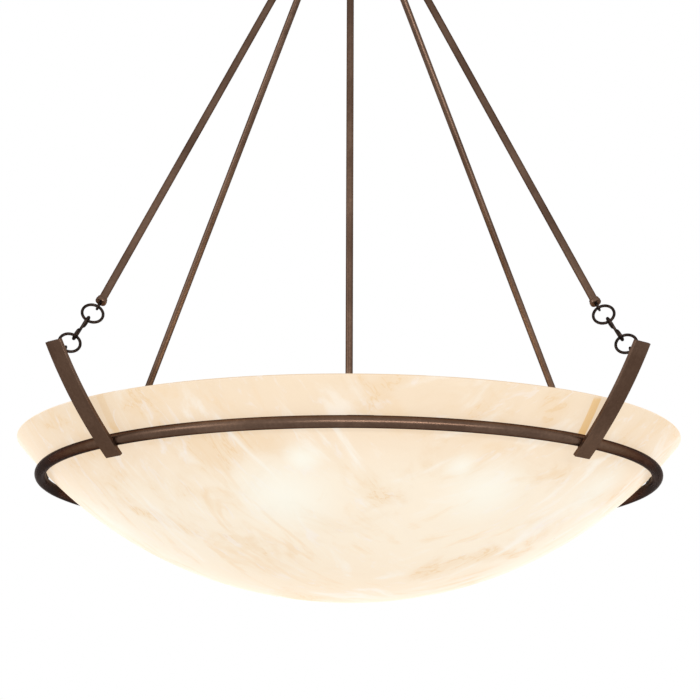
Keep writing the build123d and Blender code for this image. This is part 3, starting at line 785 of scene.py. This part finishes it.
@dataclass(frozen=True)
class BowlGlass:
    """Lit alabaster-look glass: warm cream with amber clouds, slanting wisps, pale glows, painted
    light and shade inside, and painted shadows beside the two front arms.
    """

    name: str = "bowl_glass"
    rim: Colour = paint(247, 223, 193)
    shoulder: Colour = paint(249, 225, 196)
    belly: Colour = paint(254, 239, 217)
    foot: Colour = paint(253, 232, 204)
    amber: Colour = paint(247, 215, 174)
    # honey: the colour of the veins, and also of the painted shadows beside the front arms
    honey_vein_and_shadow: Colour = paint(238, 192, 124)
    milk: Colour = paint(255, 248, 237)
    pearl: Colour = paint(251, 243, 240)
    glow: Colour = paint(255, 253, 241)
    # shade: painted shade of the inside near the rim
    shade: Colour = paint(222, 186, 146)
    body: Colour = (0.20, 0.18, 0.148)
    body_shade: float = 0.88
    light: float = 0.80
    slant: tuple[Triple, Triple] = ((0, 27, 48), (3.6, 1, 1))
    level: tuple[Triple, Triple] = ((0, -7, -9), (3.2, 1, 1))
    clouds: Noise = Noise(6.5, 5.0, 0.6, 0.6)
    wisps: tuple[Noise, Noise] = (Noise(13.0, 6.0, 0.62, 1.0), Noise(11.0, 6.0, 0.6, 1.0))
    threads: tuple[Noise, Noise] = (Noise(42.0, 5.0, 0.6, 1.4), Noise(38.0, 5.0, 0.6, 1.2))
    ripple: Noise = Noise(22.0, 3.0, 0.5, 0.8)

    def make(self) -> Material:
        """Builds the material."""
        sheet = Sheet(bpy.data.materials.new(self.name))
        x, _, z = sheet.split(sheet.place)
        side = x.between(-0.05, 0.22)
        height = (z - (LAYOUT.rim_z - LAYOUT.bowl_depth)) * (1 / LAYOUT.bowl_depth)
        outside = sheet.ramp(height, (0.0, self.foot), (0.22, self.belly), (0.5, self.belly),
                             (0.72, self.shoulder), (1.0, self.rim))
        # Inside: painted light, palest at the floor, and painted shade darkening towards the rim
        inside = sheet.ramp(height, (0.0, self.glow), (0.3, self.belly), (0.7, self.amber),
                            (1.0, self.shade))
        depth = LAYOUT.sphere - sheet.distance((0, 0, LAYOUT.sphere_z))
        slanting, level = sheet.mapped(*self.slant), sheet.mapped(*self.level)
        clouds = sheet.noise(sheet.place, self.clouds)
        wisps, threads = (
            sheet.noise(slanting, left) * (1 - side) + sheet.noise(level, right) * side
            for left, right in (self.wisps, self.threads))
        milky = wisps.between(0.52, 0.68) * (0.75 - 0.35 * height.between(0.7, 1.0))
        tone = sheet.mix(depth.between(0.0015, 0.0045), outside, inside)
        for share, colour in (
                (clouds.between(0.48, 0.66) * 0.5, self.amber),
                (milky, self.milk),
                ((1 - wisps.between(0.34, 0.46)) * 0.55, self.amber),
                (threads.between(0.56, 0.68) * 0.4, self.pearl),
                (self._veins(wisps, clouds) * 0.4, self.honey_vein_and_shadow),
                (self._glows(sheet), self.glow),
                # painted shadows of the two front arms, in honey
                (self._painted_arm_shadows(sheet), self.honey_vein_and_shadow)):
            tone = sheet.mix(share, tone, colour)
        ripple = sheet.noise(slanting, self.ripple)
        shaded = tuple(channel * self.body_shade for channel in self.body)
        solid = sheet.mix(clouds.between(*MIDDLE_BAND), self.body, shaded)
        return sheet.close({
            "Base Color": solid, "Roughness": 0.24 + threads * 0.12, "IOR": 1.5,
            "Specular IOR Level": 0.05, "Emission Color": tone, "Emission Strength": self.light,
            "Normal": sheet.bump(ripple, 0.0008, 0.2),
        })

    def _veins(self, wisps: Signal, clouds: Signal) -> Signal:
        """Thin honey veins along the edges of the wisps, in some of the clouds."""
        ridge = (wisps - 0.5) * (wisps - 0.5)
        return (1 - ridge.between(0.0, 0.00022)) * clouds.between(0.54, 0.62)

    def _glows(self, sheet: Sheet) -> Signal:
        """Pale glows all round, where the lamps light the glass: place, reach and strength."""
        spots = (((-0.105, -0.405, -0.160), 0.125, 0.85), ((-0.075, -0.485, -0.115), 0.05, 0.9),
                 ((0.235, -0.375, -0.152), 0.11, 0.75), ((0.190, -0.445, -0.122), 0.045, 0.8),
                 ((0.430, -0.215, -0.110), 0.10, 0.6), ((0.340, 0.250, -0.152), 0.12, 0.7),
                 ((0.020, 0.430, -0.150), 0.12, 0.75), ((-0.340, 0.260, -0.150), 0.12, 0.7),
                 ((-0.420, -0.080, -0.150), 0.10, 0.5))
        return reduce(Signal.highest, (
            (1 - sheet.distance((x, y, LAYOUT.rim_z + depth)).between(0.0, reach)) * share
            for (x, y, depth), reach, share in spots))

    def _painted_arm_shadows(self, sheet: Sheet) -> Signal:
        """Painted shadows of the two front arms, as honey strips in the glass beside them: place,
        heading and strength.
        """
        places = (((0.405, -0.414, -0.033), 119.0, 0.9), ((-0.405, -0.424, -0.026), 61.0, 0.3))
        arm_shadows = []
        for (x, y, depth), heading, share in places:
            axes = sheet.mapped((0, 46, heading), centre=(x, y, LAYOUT.rim_z + depth))
            along, across, _ = sheet.split(axes)
            width = 1 - (across * across).between(0.0075**2, 0.0098**2)
            length = 1 - (along * along).between(0.038**2, 0.048**2)
            arm_shadows.append(width * length * share)
        return reduce(Signal.highest, arm_shadows)


@dataclass
class Finishes:
    """All the materials, made once."""

    bronze: Material = field(default_factory=BronzePaint().make)
    wire: Material = field(default_factory=DARK_WIRE.make)
    steel: Material = field(default_factory=ZincSteel().make)
    brass: Material = field(default_factory=BRASS_SHELL.make)
    ceramic: Material = field(default_factory=SOCKET_CERAMIC.make)
    rubber: Material = field(default_factory=PAD_RUBBER.make)
    lamp: Material = field(default_factory=LampGlass().make)
    bowl: Material = field(default_factory=BowlGlass().make)


# Sub-assemblies

@dataclass
class GlassBowl:
    """The glass bowl, a thick shallow shell with a ground and rounded rim."""

    lip: float = 0.0015
    lip_steps: int = 4
    pole: float = 0.003
    steps: int = 46
    sides: int = 216

    def build(self, finishes: Finishes) -> None:
        """Models the bowl and hands it over."""
        piece = turn_piece("bowl_shell", self._profile(), self.sides)
        hand_over(piece, "bowl", finishes.bowl, "bowl_glass", "bowl")

    def _at(self, sphere: float, angle: float) -> Point:
        """Point of the section on a sphere about the bowl's centre."""
        return sphere * sin(angle), LAYOUT.sphere_z - sphere * cos(angle)

    def _walk(self, sphere: float, start: float, end: float) -> list[Point]:
        """Points along one sphere."""
        return [self._at(sphere, start + (end - start) * k / self.steps)
                for k in range(self.steps + 1)]

    def _profile(self) -> list[Point]:
        """The section from the pole's outside, over the rim, to the pole's inside."""
        outer = LAYOUT.sphere
        inner = outer - LAYOUT.bowl_wall
        rim = asin(LAYOUT.bowl_radius / outer)
        edge = rim - self.lip / outer
        points = self._walk(outer, self.pole / outer, edge)
        for middle, first in ((outer - self.lip, -90.0), (inner + self.lip, 0.0)):
            slant = degrees(rim) + first
            points += arc_points(self._at(middle, edge), self.lip, slant, slant + 90,
                                 self.lip_steps)[1:]
        return points + self._walk(inner, edge, self.pole / inner)[1:]


@dataclass
class SupportFrame:
    """The round tube ring under the bowl, with its four curved flat arms."""

    sides: int = 256
    tube_steps: int = 24
    arm_width: float = 0.0381
    arm_steps: int = 36
    arm_edge: float = 0.0007
    arm_edge_steps: int = 3
    eye_segments: tuple[int, int] = (40, 18)
    shank_radius: float = 0.004
    shank_taper: float = 0.8
    shank_sides: int = 24
    bead_radius: float = 0.0026
    bead_steps: int = 34
    bead_sides: int = 14
    bead_share: float = 0.86
    bead_dip: float = 0.86
    bead_end: float = 0.35
    bead_sink: float = 0.75
    bead_touch: float = 0.45

    def build(self, finishes: Finishes) -> None:
        """Models the ring and the arms and hands them over."""
        bronze = (finishes.bronze, "bronze_finish")
        tube = arc_points((LAYOUT.ring_radius, LAYOUT.ring_z), LAYOUT.ring_tube_radius, 0, 360,
                          self.tube_steps)[:-1]
        ring = turn_piece("ring_tube", tube, self.sides, ring=True)
        hand_over(ring, "frame", *bronze, "support_ring")
        dress_node("bowl_pads", finishes.rubber)
        bar, bead = self._bar(), self._bead()
        for corner in Corner:
            label = corner.label
            turned = Matrix.Rotation(corner.azimuth, 4, "Z")
            hand_copy(bar, f"arm_bar_{label}", turned, "frame", *bronze, f"arm_{label}")
            hand_over(self._eye(corner), "frame", finishes.wire, "dark_wire")
            for side, place in self._bead_places().items():
                hand_copy(bead, f"weld_{side}_{label}", turned @ place, "frame", *bronze)
        drop(bar)
        drop(bead)

    def _bar(self) -> Object:
        """The bent bar, lying in the XZ plane: a flat outline spun about the bend's axis."""
        centre_r, centre_z = LAYOUT.arm_bend
        low, high = LAYOUT.arm_ends
        middle = LAYOUT.arm_inner_radius + LAYOUT.arm_thickness / 2
        clear_selection()
        start = (centre_r + middle * cos(low), 0, centre_z - middle * sin(low))
        bpy.ops.mesh.primitive_plane_add(size=1, location=start, rotation=(0, low, 0))
        piece = take_new("arm_pattern")
        piece.scale = (LAYOUT.arm_thickness, self.arm_width, 1)
        bpy.ops.object.transform_apply(location=True, rotation=True, scale=True)
        with shaping(piece):
            bpy.ops.mesh.delete(type="ONLY_FACE")
            bpy.ops.mesh.select_all(action="SELECT")
            bpy.ops.mesh.spin(steps=self.arm_steps, angle=low - high,
                              center=(centre_r, 0, centre_z), axis=(0, 1, 0))
            bpy.ops.mesh.select_all(action="SELECT")
            bpy.ops.mesh.fill_holes(sides=4)
        tidy_shell(piece)
        soften_edges(piece, self.arm_edge, self.arm_edge_steps)
        return piece

    def _eye(self, corner: Corner) -> Object:
        """The eye on the arm's inner side, with its short shank."""
        layout = LAYOUT
        azimuth = corner.azimuth
        centre = layout.on_chain(azimuth, layout.arm_eye)
        down = layout.down_line(azimuth, layout.chain_angle)
        hook_side = layout.link_sides(corner, layout.chain_angle)[1]
        eye = torus_piece(f"arm_eye_{corner.label}", layout.arm_eye_radius, layout.arm_eye_wire / 2,
                          *self.eye_segments)
        put(eye, lay_on(centre, down, hook_side))
        bend_r, bend_z = layout.arm_bend
        start_r = centre.dot(layout.radial(azimuth)) - bend_r
        start_z = centre.z - bend_z
        along = start_r * sin(layout.chain_angle) - start_z * cos(layout.chain_angle)
        reach = layout.arm_inner_radius + layout.arm_thickness / 2
        length = -along + sqrt(along**2 + reach**2 - start_r**2 - start_z**2)
        profile = [(self.shank_radius * self.shank_taper, layout.arm_eye_radius),
                   (self.shank_radius, length - layout.arm_thickness / 2),
                   (self.shank_radius, length)]
        shank = turn_piece("shank", profile, self.shank_sides)
        put(shank, lay_on(centre, layout.tangent(azimuth), down))
        join_solid(eye, shank, ROUND_SMOOTH_ANGLE)
        return eye

    def _bead(self) -> Object:
        """A weld bead along Y, with the ripples of its run."""
        length = self.arm_width * self.bead_share
        steps = self.bead_steps
        shares = [1.0 if step % 2 else self.bead_dip for step in range(steps + 1)]
        shares[0] = shares[-1] = self.bead_end
        profile = [(self.bead_radius * share, -length / 2 + length * step / steps)
                   for step, share in enumerate(shares)]
        piece = turn_piece("bead_pattern", profile, self.bead_sides, smooth_angle=WELD_SMOOTH_ANGLE)
        return put(piece, Matrix.Rotation(pi / 2, 4, "X"))

    def _bead_places(self) -> dict[str, Matrix]:
        """Places of the beads in the two grooves between bar and ring, in the XZ plane."""
        slant = LAYOUT.arm_ring_angle
        outward = Vector((cos(slant), 0, -sin(slant)))
        along = Vector((sin(slant), 0, cos(slant)))
        ring = Vector((LAYOUT.ring_radius, 0, LAYOUT.ring_z))
        away = LAYOUT.ring_tube_radius - self.bead_radius * self.bead_sink
        touch = LAYOUT.ring_tube_radius + self.bead_radius * self.bead_touch
        side = sqrt(touch**2 - away**2)
        return {name: Matrix.Translation(ring + outward * away + along * side * sign)
                for name, sign in (("top", 1), ("low", -1))}


@dataclass
class HangingRods:
    """The four rods with their screwed ends, chain rings and S hooks."""

    ferrule_radius: float = 0.0097
    ferrule_length: float = 0.010
    ferrule_edge: float = 0.0012
    ferrule_bite: float = 0.0004
    neck_radius: float = 0.003
    neck_taper: float = 0.9
    eye_segments: tuple[int, int] = (36, 16)
    hook_sweep: float = radians(285)
    hook_steps: int = 30
    hook_smooth_angle: float = 50.0
    link_steps: int = 64
    wire_sides: int = 18
    sides: int = 40

    def build(self, finishes: Finishes) -> None:
        """Models each kind of piece once, and hands over a copy at every corner."""
        layout = LAYOUT
        rod, ferrule, link, hook = self._rod(), self._ferrule(), self._link(), self._hook()
        low_eye = self._eye("low_eye_pattern", layout.low_eye_radius, layout.low_eye_wire / 2)
        top_eye = self._eye("top_eye_pattern", layout.top_eye_radius, layout.top_eye_wire / 2)
        bronze = (finishes.bronze, "bronze_finish")
        wire = (finishes.wire, "dark_wire")
        eye_wire = (finishes.wire, "bronze_finish")
        for corner in Corner:
            azimuth = corner.azimuth
            along = layout.down_line(azimuth, layout.rod_angle)
            down = layout.down_line(azimuth, layout.chain_angle)
            ring_side, hook_side = layout.link_sides(corner, layout.chain_angle)
            eye_side = layout.link_sides(corner, layout.rod_angle)[1]
            low = lay_on(layout.on_rod(azimuth, layout.low_face), eye_side, along)
            top = lay_on(layout.on_rod(azimuth, layout.top_face),
                         layout.off_line(azimuth, layout.rod_angle), -along)
            middle = lay_on(layout.on_rod(azimuth, 0), layout.tangent(azimuth), along)
            upper_ring, lower_ring, s_hook = (
                lay_on(layout.on_chain(azimuth, distance), down, side) for distance, side in (
                    (layout.upper_ring, ring_side), (layout.lower_ring, ring_side),
                    (layout.hook, hook_side)))
            for pattern, name, place, finish, *nodes in (
                    (rod, "rod_tube", middle, bronze, "rod"),
                    (ferrule, "low_ferrule", low, bronze, "rod_low_end"),
                    (low_eye, "low_eye", low, eye_wire),
                    (ferrule, "top_ferrule", top, bronze, "rod_top_end"),
                    (top_eye, "top_eye", top, eye_wire),
                    (link, "upper_link", upper_ring, wire, "chain_rings"),
                    (link, "lower_link", lower_ring, wire, "chain_rings"),
                    (hook, "hook", s_hook, wire, "s_hook")):
                hand_copy(pattern, f"{name}_{corner.label}", place, f"rod_{corner.label}", *finish,
                          *(f"{node}_{corner.label}" for node in nodes))
        for pattern in (rod, ferrule, link, hook, low_eye, top_eye):
            drop(pattern)

    def _rod(self) -> Object:
        """The rod along Z, between the floors of its two ferrules."""
        top = LAYOUT.top_face + self.ferrule_length / 2
        low = LAYOUT.low_face - self.ferrule_length / 2
        profile = [(LAYOUT.rod_radius, top), (LAYOUT.rod_radius, low)]
        return turn_piece("rod_pattern", profile, self.sides)

    def _ferrule(self) -> Object:
        """The screwed collar on a rod's end, with its end face at the origin."""
        edge, wide, back = self.ferrule_edge, self.ferrule_radius, -self.ferrule_length
        groove = [(1.3, 0.0), (0.8, 0.4), (0.8, 1.9), (1.2, 2.3), (1.2, 3.0), (0.0, 3.6)]
        profile = [
            (LAYOUT.rod_radius - self.ferrule_bite, back),
            *((wide - inset * edge, back + height * edge) for inset, height in groove),
            (wide, -1.3 * edge), (wide - 0.4 * edge, -0.4 * edge), (wide - 1.3 * edge, 0.0),
            (self.neck_radius + 0.0016, 0.0), (self.neck_radius + 0.0012, -0.0006),
        ]
        return turn_piece("ferrule_pattern", profile, self.sides)

    def _eye(self, name: str, eye_radius: float, eye_wire: float) -> Object:
        """The eye screwed into a ferrule, with its short neck.

        Args:
            name: Name of the piece.
            eye_radius: Radius of the eye's centreline.
            eye_wire: Radius of the eye's wire.

        Returns:
            The piece, with its eye's plane square to X and the ferrule's face at the origin.
        """
        eye_z = LAYOUT.neck_length + eye_wire + eye_radius
        wide, narrow = self.neck_radius, self.neck_radius * self.neck_taper
        profile = [(wide, -0.002), (wide, 0.0002), (narrow, 0.0006), (narrow, eye_z - eye_radius)]
        piece = turn_piece(name, profile, self.sides)
        eye = torus_piece("eye", eye_radius, eye_wire, *self.eye_segments)
        put(eye, lay_on(UPWARDS * eye_z, UPWARDS, Vector((1, 0, 0))))
        join_solid(piece, eye, ROUND_SMOOTH_ANGLE)
        return piece

    def _link(self) -> Object:
        """A chain ring in the XY plane."""
        piece = torus_piece("link_pattern", LAYOUT.chain_radius, LAYOUT.wire_radius,
                            self.link_steps, self.wire_sides)
        tidy_shell(piece, WELD_SMOOTH_ANGLE)
        return piece

    def _hook(self) -> Object:
        """The S hook in the XY plane, with X down the line: a wire spun round both hooks."""
        radius, pitch = LAYOUT.hook_radius, LAYOUT.hook_pitch
        slant = asin(2 * radius / pitch)
        start_angle = self.hook_sweep - slant

        def at(side: int, angle: float) -> Vector:
            """Point of one hook's centreline."""
            return Vector((side * (pitch / 2 + radius * sin(angle)), side * radius * cos(angle), 0))

        clear_selection()
        tip = at(-1, start_angle)
        heading = Vector((cos(start_angle), -sin(start_angle), 0))
        bpy.ops.mesh.primitive_circle_add(vertices=self.wire_sides, radius=LAYOUT.wire_radius)
        piece = put(take_new("hook_pattern"), lay_on(tip, UPWARDS, heading))
        shank = at(1, -slant) - at(-1, -slant)
        sweep = {"steps": self.hook_steps, "angle": self.hook_sweep}
        with shaping(piece):
            bpy.ops.mesh.spin(**sweep, center=(-pitch / 2, 0, 0), axis=(0, 0, -1))
            bpy.ops.mesh.extrude_region_move(TRANSFORM_OT_translate={"value": tuple(shank)})
            bpy.ops.mesh.spin(**sweep, center=(pitch / 2, 0, 0), axis=(0, 0, 1))
            bpy.ops.mesh.select_all(action="SELECT")
            bpy.ops.mesh.fill_holes(sides=self.wire_sides)
        tidy_shell(piece, self.hook_smooth_angle)
        return piece


@dataclass
class Canopy:
    """The round canopy under the ceiling, with its two cap nuts."""

    radius: float = 0.095
    depth: float = 0.074
    flat_radius: float = 0.062
    wall: float = 0.0015
    hole_radius: float = 0.020
    lip: float = 0.003
    steps: int = 22
    sides: int = 128
    nut_radius: float = 0.006
    nut_height: float = 0.012
    nut_sides: int = 48
    dome_steps: int = 7
    knurl_inset: float = 0.00008
    knurl_depth: float = 0.94
    stud_offset: float = 0.046

    def build(self, finishes: Finishes) -> None:
        """Models the canopy and its nuts and hands them over."""
        bronze = (finishes.bronze, "bronze_finish")
        shell = turn_piece("canopy_shell", self._profile(), self.sides, ring=True)
        hand_over(shell, "canopy", *bronze, "canopy")
        nut = self._nut()
        for name, side in (("left", -1), ("right", 1)):
            place = Matrix.Translation((side * self.stud_offset, 0, -self.depth))
            hand_copy(nut, f"cap_nut_{name}", place, "canopy", *bronze, "cap_nuts")
        drop(nut)

    def _bell(self, wall: float, step: int) -> Point:
        """Point of the rounded shoulder, inset by a wall."""
        angle = pi / 2 * step / self.steps
        wide = self.radius - self.flat_radius
        return self.flat_radius + (wide - wall) * cos(angle), -(self.depth - wall) * sin(angle)

    def _profile(self) -> list[Point]:
        """The canopy's section, outside from the ceiling down and back up inside."""
        outer = [self._bell(0.0, step) for step in range(1, self.steps + 1)]
        inner = [self._bell(self.wall, step) for step in range(self.steps, 0, -1)]
        radius, wall, hole, floor, lip = (
            self.radius, self.wall, self.hole_radius, -self.depth, self.lip)
        hem = [(radius - wall * inset, -wall * drop_by) for inset, drop_by in (
            (1.6, 0.0), (0.4, 0.5), (0.0, 1.6), (0.3, 2.8), (1.0, 3.4))]
        rolled = [(hole + lip * out, floor - lip * down) for out, down in (
            (1.0, 0.0), (1.0, 0.6), (0.6, 1.0), (0.25, 1.0), (0.0, 0.6))]
        return [*hem, *(point for point in outer if point[1] < -wall * 4), *rolled,
                (hole, floor + wall), *(point for point in inner if point[1] < -wall * 2),
                (radius - wall * 2, 0.0)]

    def _nut(self) -> Object:
        """A knurled cap nut hanging from the origin."""
        wide, tall, sides = self.nut_radius, self.nut_height, self.nut_sides
        profile = [(wide * out, -tall * down) for out, down in (
            (0.4, 0.0), (0.92, 0.0), (1.0, 0.06), (1.0, 0.52), (0.92, 0.58), (0.8, 0.6))]
        profile += [(wide * 0.8 * cos(a), -tall * 0.6 - tall * 0.4 * sin(a))
                    for a in (pi / 2 * k / self.dome_steps for k in range(1, self.dome_steps))]
        piece = turn_piece("nut_pattern", profile, sides)
        with shaping(piece):
            bpy.ops.mesh.select_mode(type="FACE")
            bpy.ops.mesh.select_all(action="DESELECT")
            shape = bmesh.from_edit_mesh(piece.data)
            for face in shape.faces:
                middle = face.calc_center_median()
                on_side = middle.xy.length > wide * 0.95 and -tall * 0.5 < middle.z < -tall * 0.1
                step = round(atan2(middle.y, middle.x) / (2 * pi / sides) - 0.5)
                face.select_set(on_side and step % 2 == 0)
            bmesh.update_edit_mesh(piece.data)
            bpy.ops.mesh.inset(thickness=self.knurl_inset)
            bpy.ops.transform.resize(value=(self.knurl_depth, self.knurl_depth, 1),
                                     center_override=(0, 0, 0))
        return piece


@dataclass
class LampCluster:
    """The lamps in the bowl: their sockets and bulbs."""

    lamps: int = 6
    socket_start: float = 0.120
    socket_length: float = 0.046
    socket_radius: float = 0.019
    socket_bore: float = 0.0136
    socket_depth: float = 0.025
    socket_edge: float = 0.001
    socket_groove: float = 0.0009
    collar_radius: float = 0.0125
    arm_radius: float = 0.006
    base_radius: float = 0.0132
    base_length: float = 0.027
    thread_depth: float = 0.0012
    thread_length: float = 0.017
    thread_ridges: int = 6
    globe_radius: float = 0.030
    globe_steps: int = 18
    globe_end: float = 87.0
    neck_radius: float = 0.0145
    neck_edge: float = 0.0016
    bulb_length: float = 0.107
    sides: int = 48

    def build(self, finishes: Finishes) -> None:
        """Models the sockets and bulbs and hands them over."""
        socket, glass, base = self._socket(), self._glass(), self._base()
        for number in range(1, self.lamps + 1):
            outward = LAYOUT.radial(2 * pi * (number - 1) / self.lamps)
            place = lay_on(UPWARDS * LAYOUT.cluster_z, UPWARDS, outward)
            bulb = f"bulb_{number}"
            hand_copy(socket, f"socket_cup_{number}", place, "pendant", finishes.ceramic,
                      "socket_ceramic", f"socket_{number}")
            hand_copy(glass, f"bulb_glass_{number}", place, bulb, finishes.lamp, "bulb_glass", bulb)
            hand_copy(base, f"bulb_base_{number}", place, bulb, finishes.brass, "bulb_glass")
        for pattern in (socket, glass, base):
            drop(pattern)

    @property
    def bulb_start(self) -> float:
        """Distance from the axis to the bulb's inner end."""
        return self.socket_start + self.socket_length - self.socket_depth + LAYOUT.seat_gap

    def _socket(self) -> Object:
        """The socket cup along Z, open at its outer end."""
        start, end = self.socket_start, self.socket_start + self.socket_length
        wide, bore, edge, collar = (
            self.socket_radius, self.socket_bore, self.socket_edge, self.collar_radius)
        inner, floor = self.arm_radius + LAYOUT.thread_gap, end - self.socket_depth
        profile = [(inner, start), (collar, start), (collar + edge, start + edge),
                   (collar + edge, start + 0.006), (wide - edge, start + 0.0085),
                   (wide, start + 0.010)]
        for top in (0.016, 0.007):
            profile += [(wide, end - top), (wide - self.socket_groove, end - top + 0.0008),
                        (wide - self.socket_groove, end - top + 0.0022),
                        (wide, end - top + 0.003)]
        profile += [(wide, end - edge), (wide - edge, end), (bore + edge, end), (bore, end - edge),
                    (bore, floor), (inner, floor)]
        return turn_piece("socket_pattern", profile, self.sides, ring=True)

    def _glass(self) -> Object:
        """The bulb's glass along Z, from its neck to the round end."""
        neck_z = self.bulb_start + self.base_length
        globe_z = self.bulb_start + self.bulb_length - self.globe_radius
        slope = asin((self.globe_radius - self.neck_radius) / (globe_z - neck_z))
        profile = [(self.neck_radius - self.neck_edge, neck_z), (self.neck_radius, neck_z + 0.0014)]
        profile += arc_points((0.0, globe_z), self.globe_radius, -degrees(slope), self.globe_end,
                              self.globe_steps)
        return turn_piece("glass_pattern", profile, self.sides)

    def _base(self) -> Object:
        """The bulb's screw base along Z, with the ridges of its thread."""
        start, end = self.bulb_start, self.bulb_start + self.base_length
        crest, root = self.base_radius, self.base_radius - self.thread_depth
        pitch = self.thread_length / self.thread_ridges
        profile = [(0.004, start), (0.0055, start + 0.001), (0.0095, start + 0.003),
                   (root, start + 0.0045)]
        for ridge in range(self.thread_ridges):
            low = start + 0.005 + ridge * pitch
            profile += [(root, low), (crest, low + 0.35 * pitch), (crest, low + 0.55 * pitch),
                        (root, low + 0.9 * pitch)]
        profile += [(root, end - 0.004), (crest, end - 0.003), (crest, end)]
        return turn_piece("base_pattern", profile, self.sides)


@dataclass
class Ironwork:
    """The kept nodes, which only get their finish."""

    steel: tuple[str, ...] = (
        "ceiling_plate", "upper_yoke", "lower_yoke", "upper_pins", "lower_pins", "gimbal_ring",
        "yoke_screws", "canopy_studs", "stem_nuts")
    bronze: tuple[str, ...] = (
        "hub", "upper_stem", "lower_stem", "cluster_body", "cluster_cover", "cluster_nut",
        "socket_arms")

    def build(self, finishes: Finishes) -> None:
        """Dresses the nodes."""
        for node in self.steel:
            dress_node(node, finishes.steel)
        for node in self.bronze:
            dress_node(node, finishes.bronze)


# Studio

@dataclass(frozen=True)
class Softbox:
    """A soft lamp of the studio, aimed at the bowl's rim."""

    name: str
    place: Triple
    width: float
    height: float
    power: float

    def build(self) -> None:
        """Sets the lamp up."""
        lamp = bpy.data.lights.new(self.name, "AREA")
        lamp.shape = "RECTANGLE"
        lamp.size, lamp.size_y = self.width, self.height
        lamp.energy = self.power
        holder = bpy.data.objects.new(self.name, lamp)
        bpy.context.scene.collection.objects.link(holder)
        holder.location = self.place
        aim = UPWARDS * LAYOUT.rim_z - Vector(self.place)
        holder.rotation_euler = aim.to_track_quat("-Z", "Y").to_euler()


@dataclass
class Studio:
    """Camera, lamps, pale floor and white background."""

    camera_back: float = 4.570
    camera_azimuth: float = 0.005
    camera_below_rim: float = 0.862
    camera_pitch: float = 0.2242
    camera_roll: float = 0.0032
    focal_pixels: float = 2512.5
    image_pixels: float = 700.0
    centre_pixel: float = 349.2
    sensor: float = 36.0
    floor_z: float = -2.95
    floor_size: float = 14.0
    floor_grain: Noise = Noise(2.0)
    floor_tones: tuple[Colour, Colour] = ((0.78, 0.78, 0.77), (0.82, 0.82, 0.81))
    floor_roughness: float = 0.8
    mirrored_floor: float = 0.85
    room_light: float = 0.6
    softboxes: tuple[Softbox, ...] = (
        Softbox("long_box", (1.1, -4.2, -1.3), 4.2, 0.36, 92.0),
        Softbox("left_box", (-3.6, -2.4, -0.6), 1.4, 1.4, 22.0),
    )

    def build(self) -> None:
        """Sets up everything that isn't part of the light."""
        self._camera()
        self._floor()
        self._world()
        for softbox in self.softboxes:
            softbox.build()

    def _camera(self) -> None:
        """The camera of the photograph's view."""
        lens = bpy.data.cameras.new("camera")
        lens.sensor_width = self.sensor
        lens.lens = self.focal_pixels / self.image_pixels * self.sensor
        lens.shift_x = (self.image_pixels / 2 - self.centre_pixel) / self.image_pixels
        camera = bpy.data.objects.new("camera", lens)
        bpy.context.scene.collection.objects.link(camera)
        around = Matrix.Rotation(self.camera_azimuth, 3, "Z")
        place = Vector((0, -self.camera_back, LAYOUT.rim_z - self.camera_below_rim))
        camera.location = around @ place
        level = around @ Matrix.Rotation(pi / 2 + self.camera_pitch, 3, "X")
        camera.rotation_euler = (level @ Matrix.Rotation(self.camera_roll, 3, "Z")).to_euler()
        bpy.context.scene.camera = camera

    def _floor(self) -> None:
        """A pale floor, which hides nothing from below and is mirrored as white."""
        clear_selection()
        bpy.ops.mesh.primitive_plane_add(size=self.floor_size, location=(0, 0, self.floor_z))
        floor = take_new("floor")
        sheet = Sheet(bpy.data.materials.new("floor_paint"))
        tone = sheet.mix(sheet.noise(sheet.place, self.floor_grain), *self.floor_tones)
        painted = sheet.node("BsdfPrincipled",
                             {"Base Color": tone, "Roughness": self.floor_roughness})
        mirrored = sheet.node("LightPath").outputs["Is Glossy Ray"]
        white = sheet.node("Emission", {"Color": WHITE, "Strength": self.mirrored_floor})
        lit = sheet.node("MixShader", {0: mirrored, 1: painted.outputs[0], 2: white.outputs[0]})
        back = sheet.node("NewGeometry").outputs["Backfacing"]
        clear = sheet.node("BsdfTransparent")
        either = sheet.node("MixShader", {0: back, 1: lit.outputs[0], 2: clear.outputs[0]})
        sheet.node("OutputMaterial", {0: either.outputs[0]})
        floor.data.materials.append(sheet.owner)

    def _world(self) -> None:
        """White where it is seen or mirrored, and a soft grey light elsewhere."""
        world = bpy.data.worlds.new("studio")
        bpy.context.scene.world = world
        sheet = Sheet(world)
        rays = sheet.node("LightPath").outputs
        seen = Signal(sheet, rays["Is Camera Ray"]).highest(rays["Is Glossy Ray"])
        through = seen.highest(rays["Is Transmission Ray"])
        light, white = (sheet.node("Background", {"Color": WHITE, "Strength": strength})
                        for strength in (self.room_light, 1.0))
        mix = sheet.node("MixShader", {0: through, 1: light.outputs[0], 2: white.outputs[0]})
        sheet.node("OutputWorld", {0: mix.outputs[0]})
        bpy.context.scene.view_settings.view_transform = "Standard"


def main() -> None:
    """Builds the pendant's sub-assemblies, and then the studio."""
    logging.basicConfig(level=logging.INFO, format="%(name)s: %(message)s")
    finishes = Finishes()
    for assembly in (Ironwork, Canopy, HangingRods, SupportFrame, GlassBowl, LampCluster):
        LOG.info("building %s", assembly.__name__)
        assembly().build(finishes)
    Studio().build()


if __name__ == "__main__":
    main()
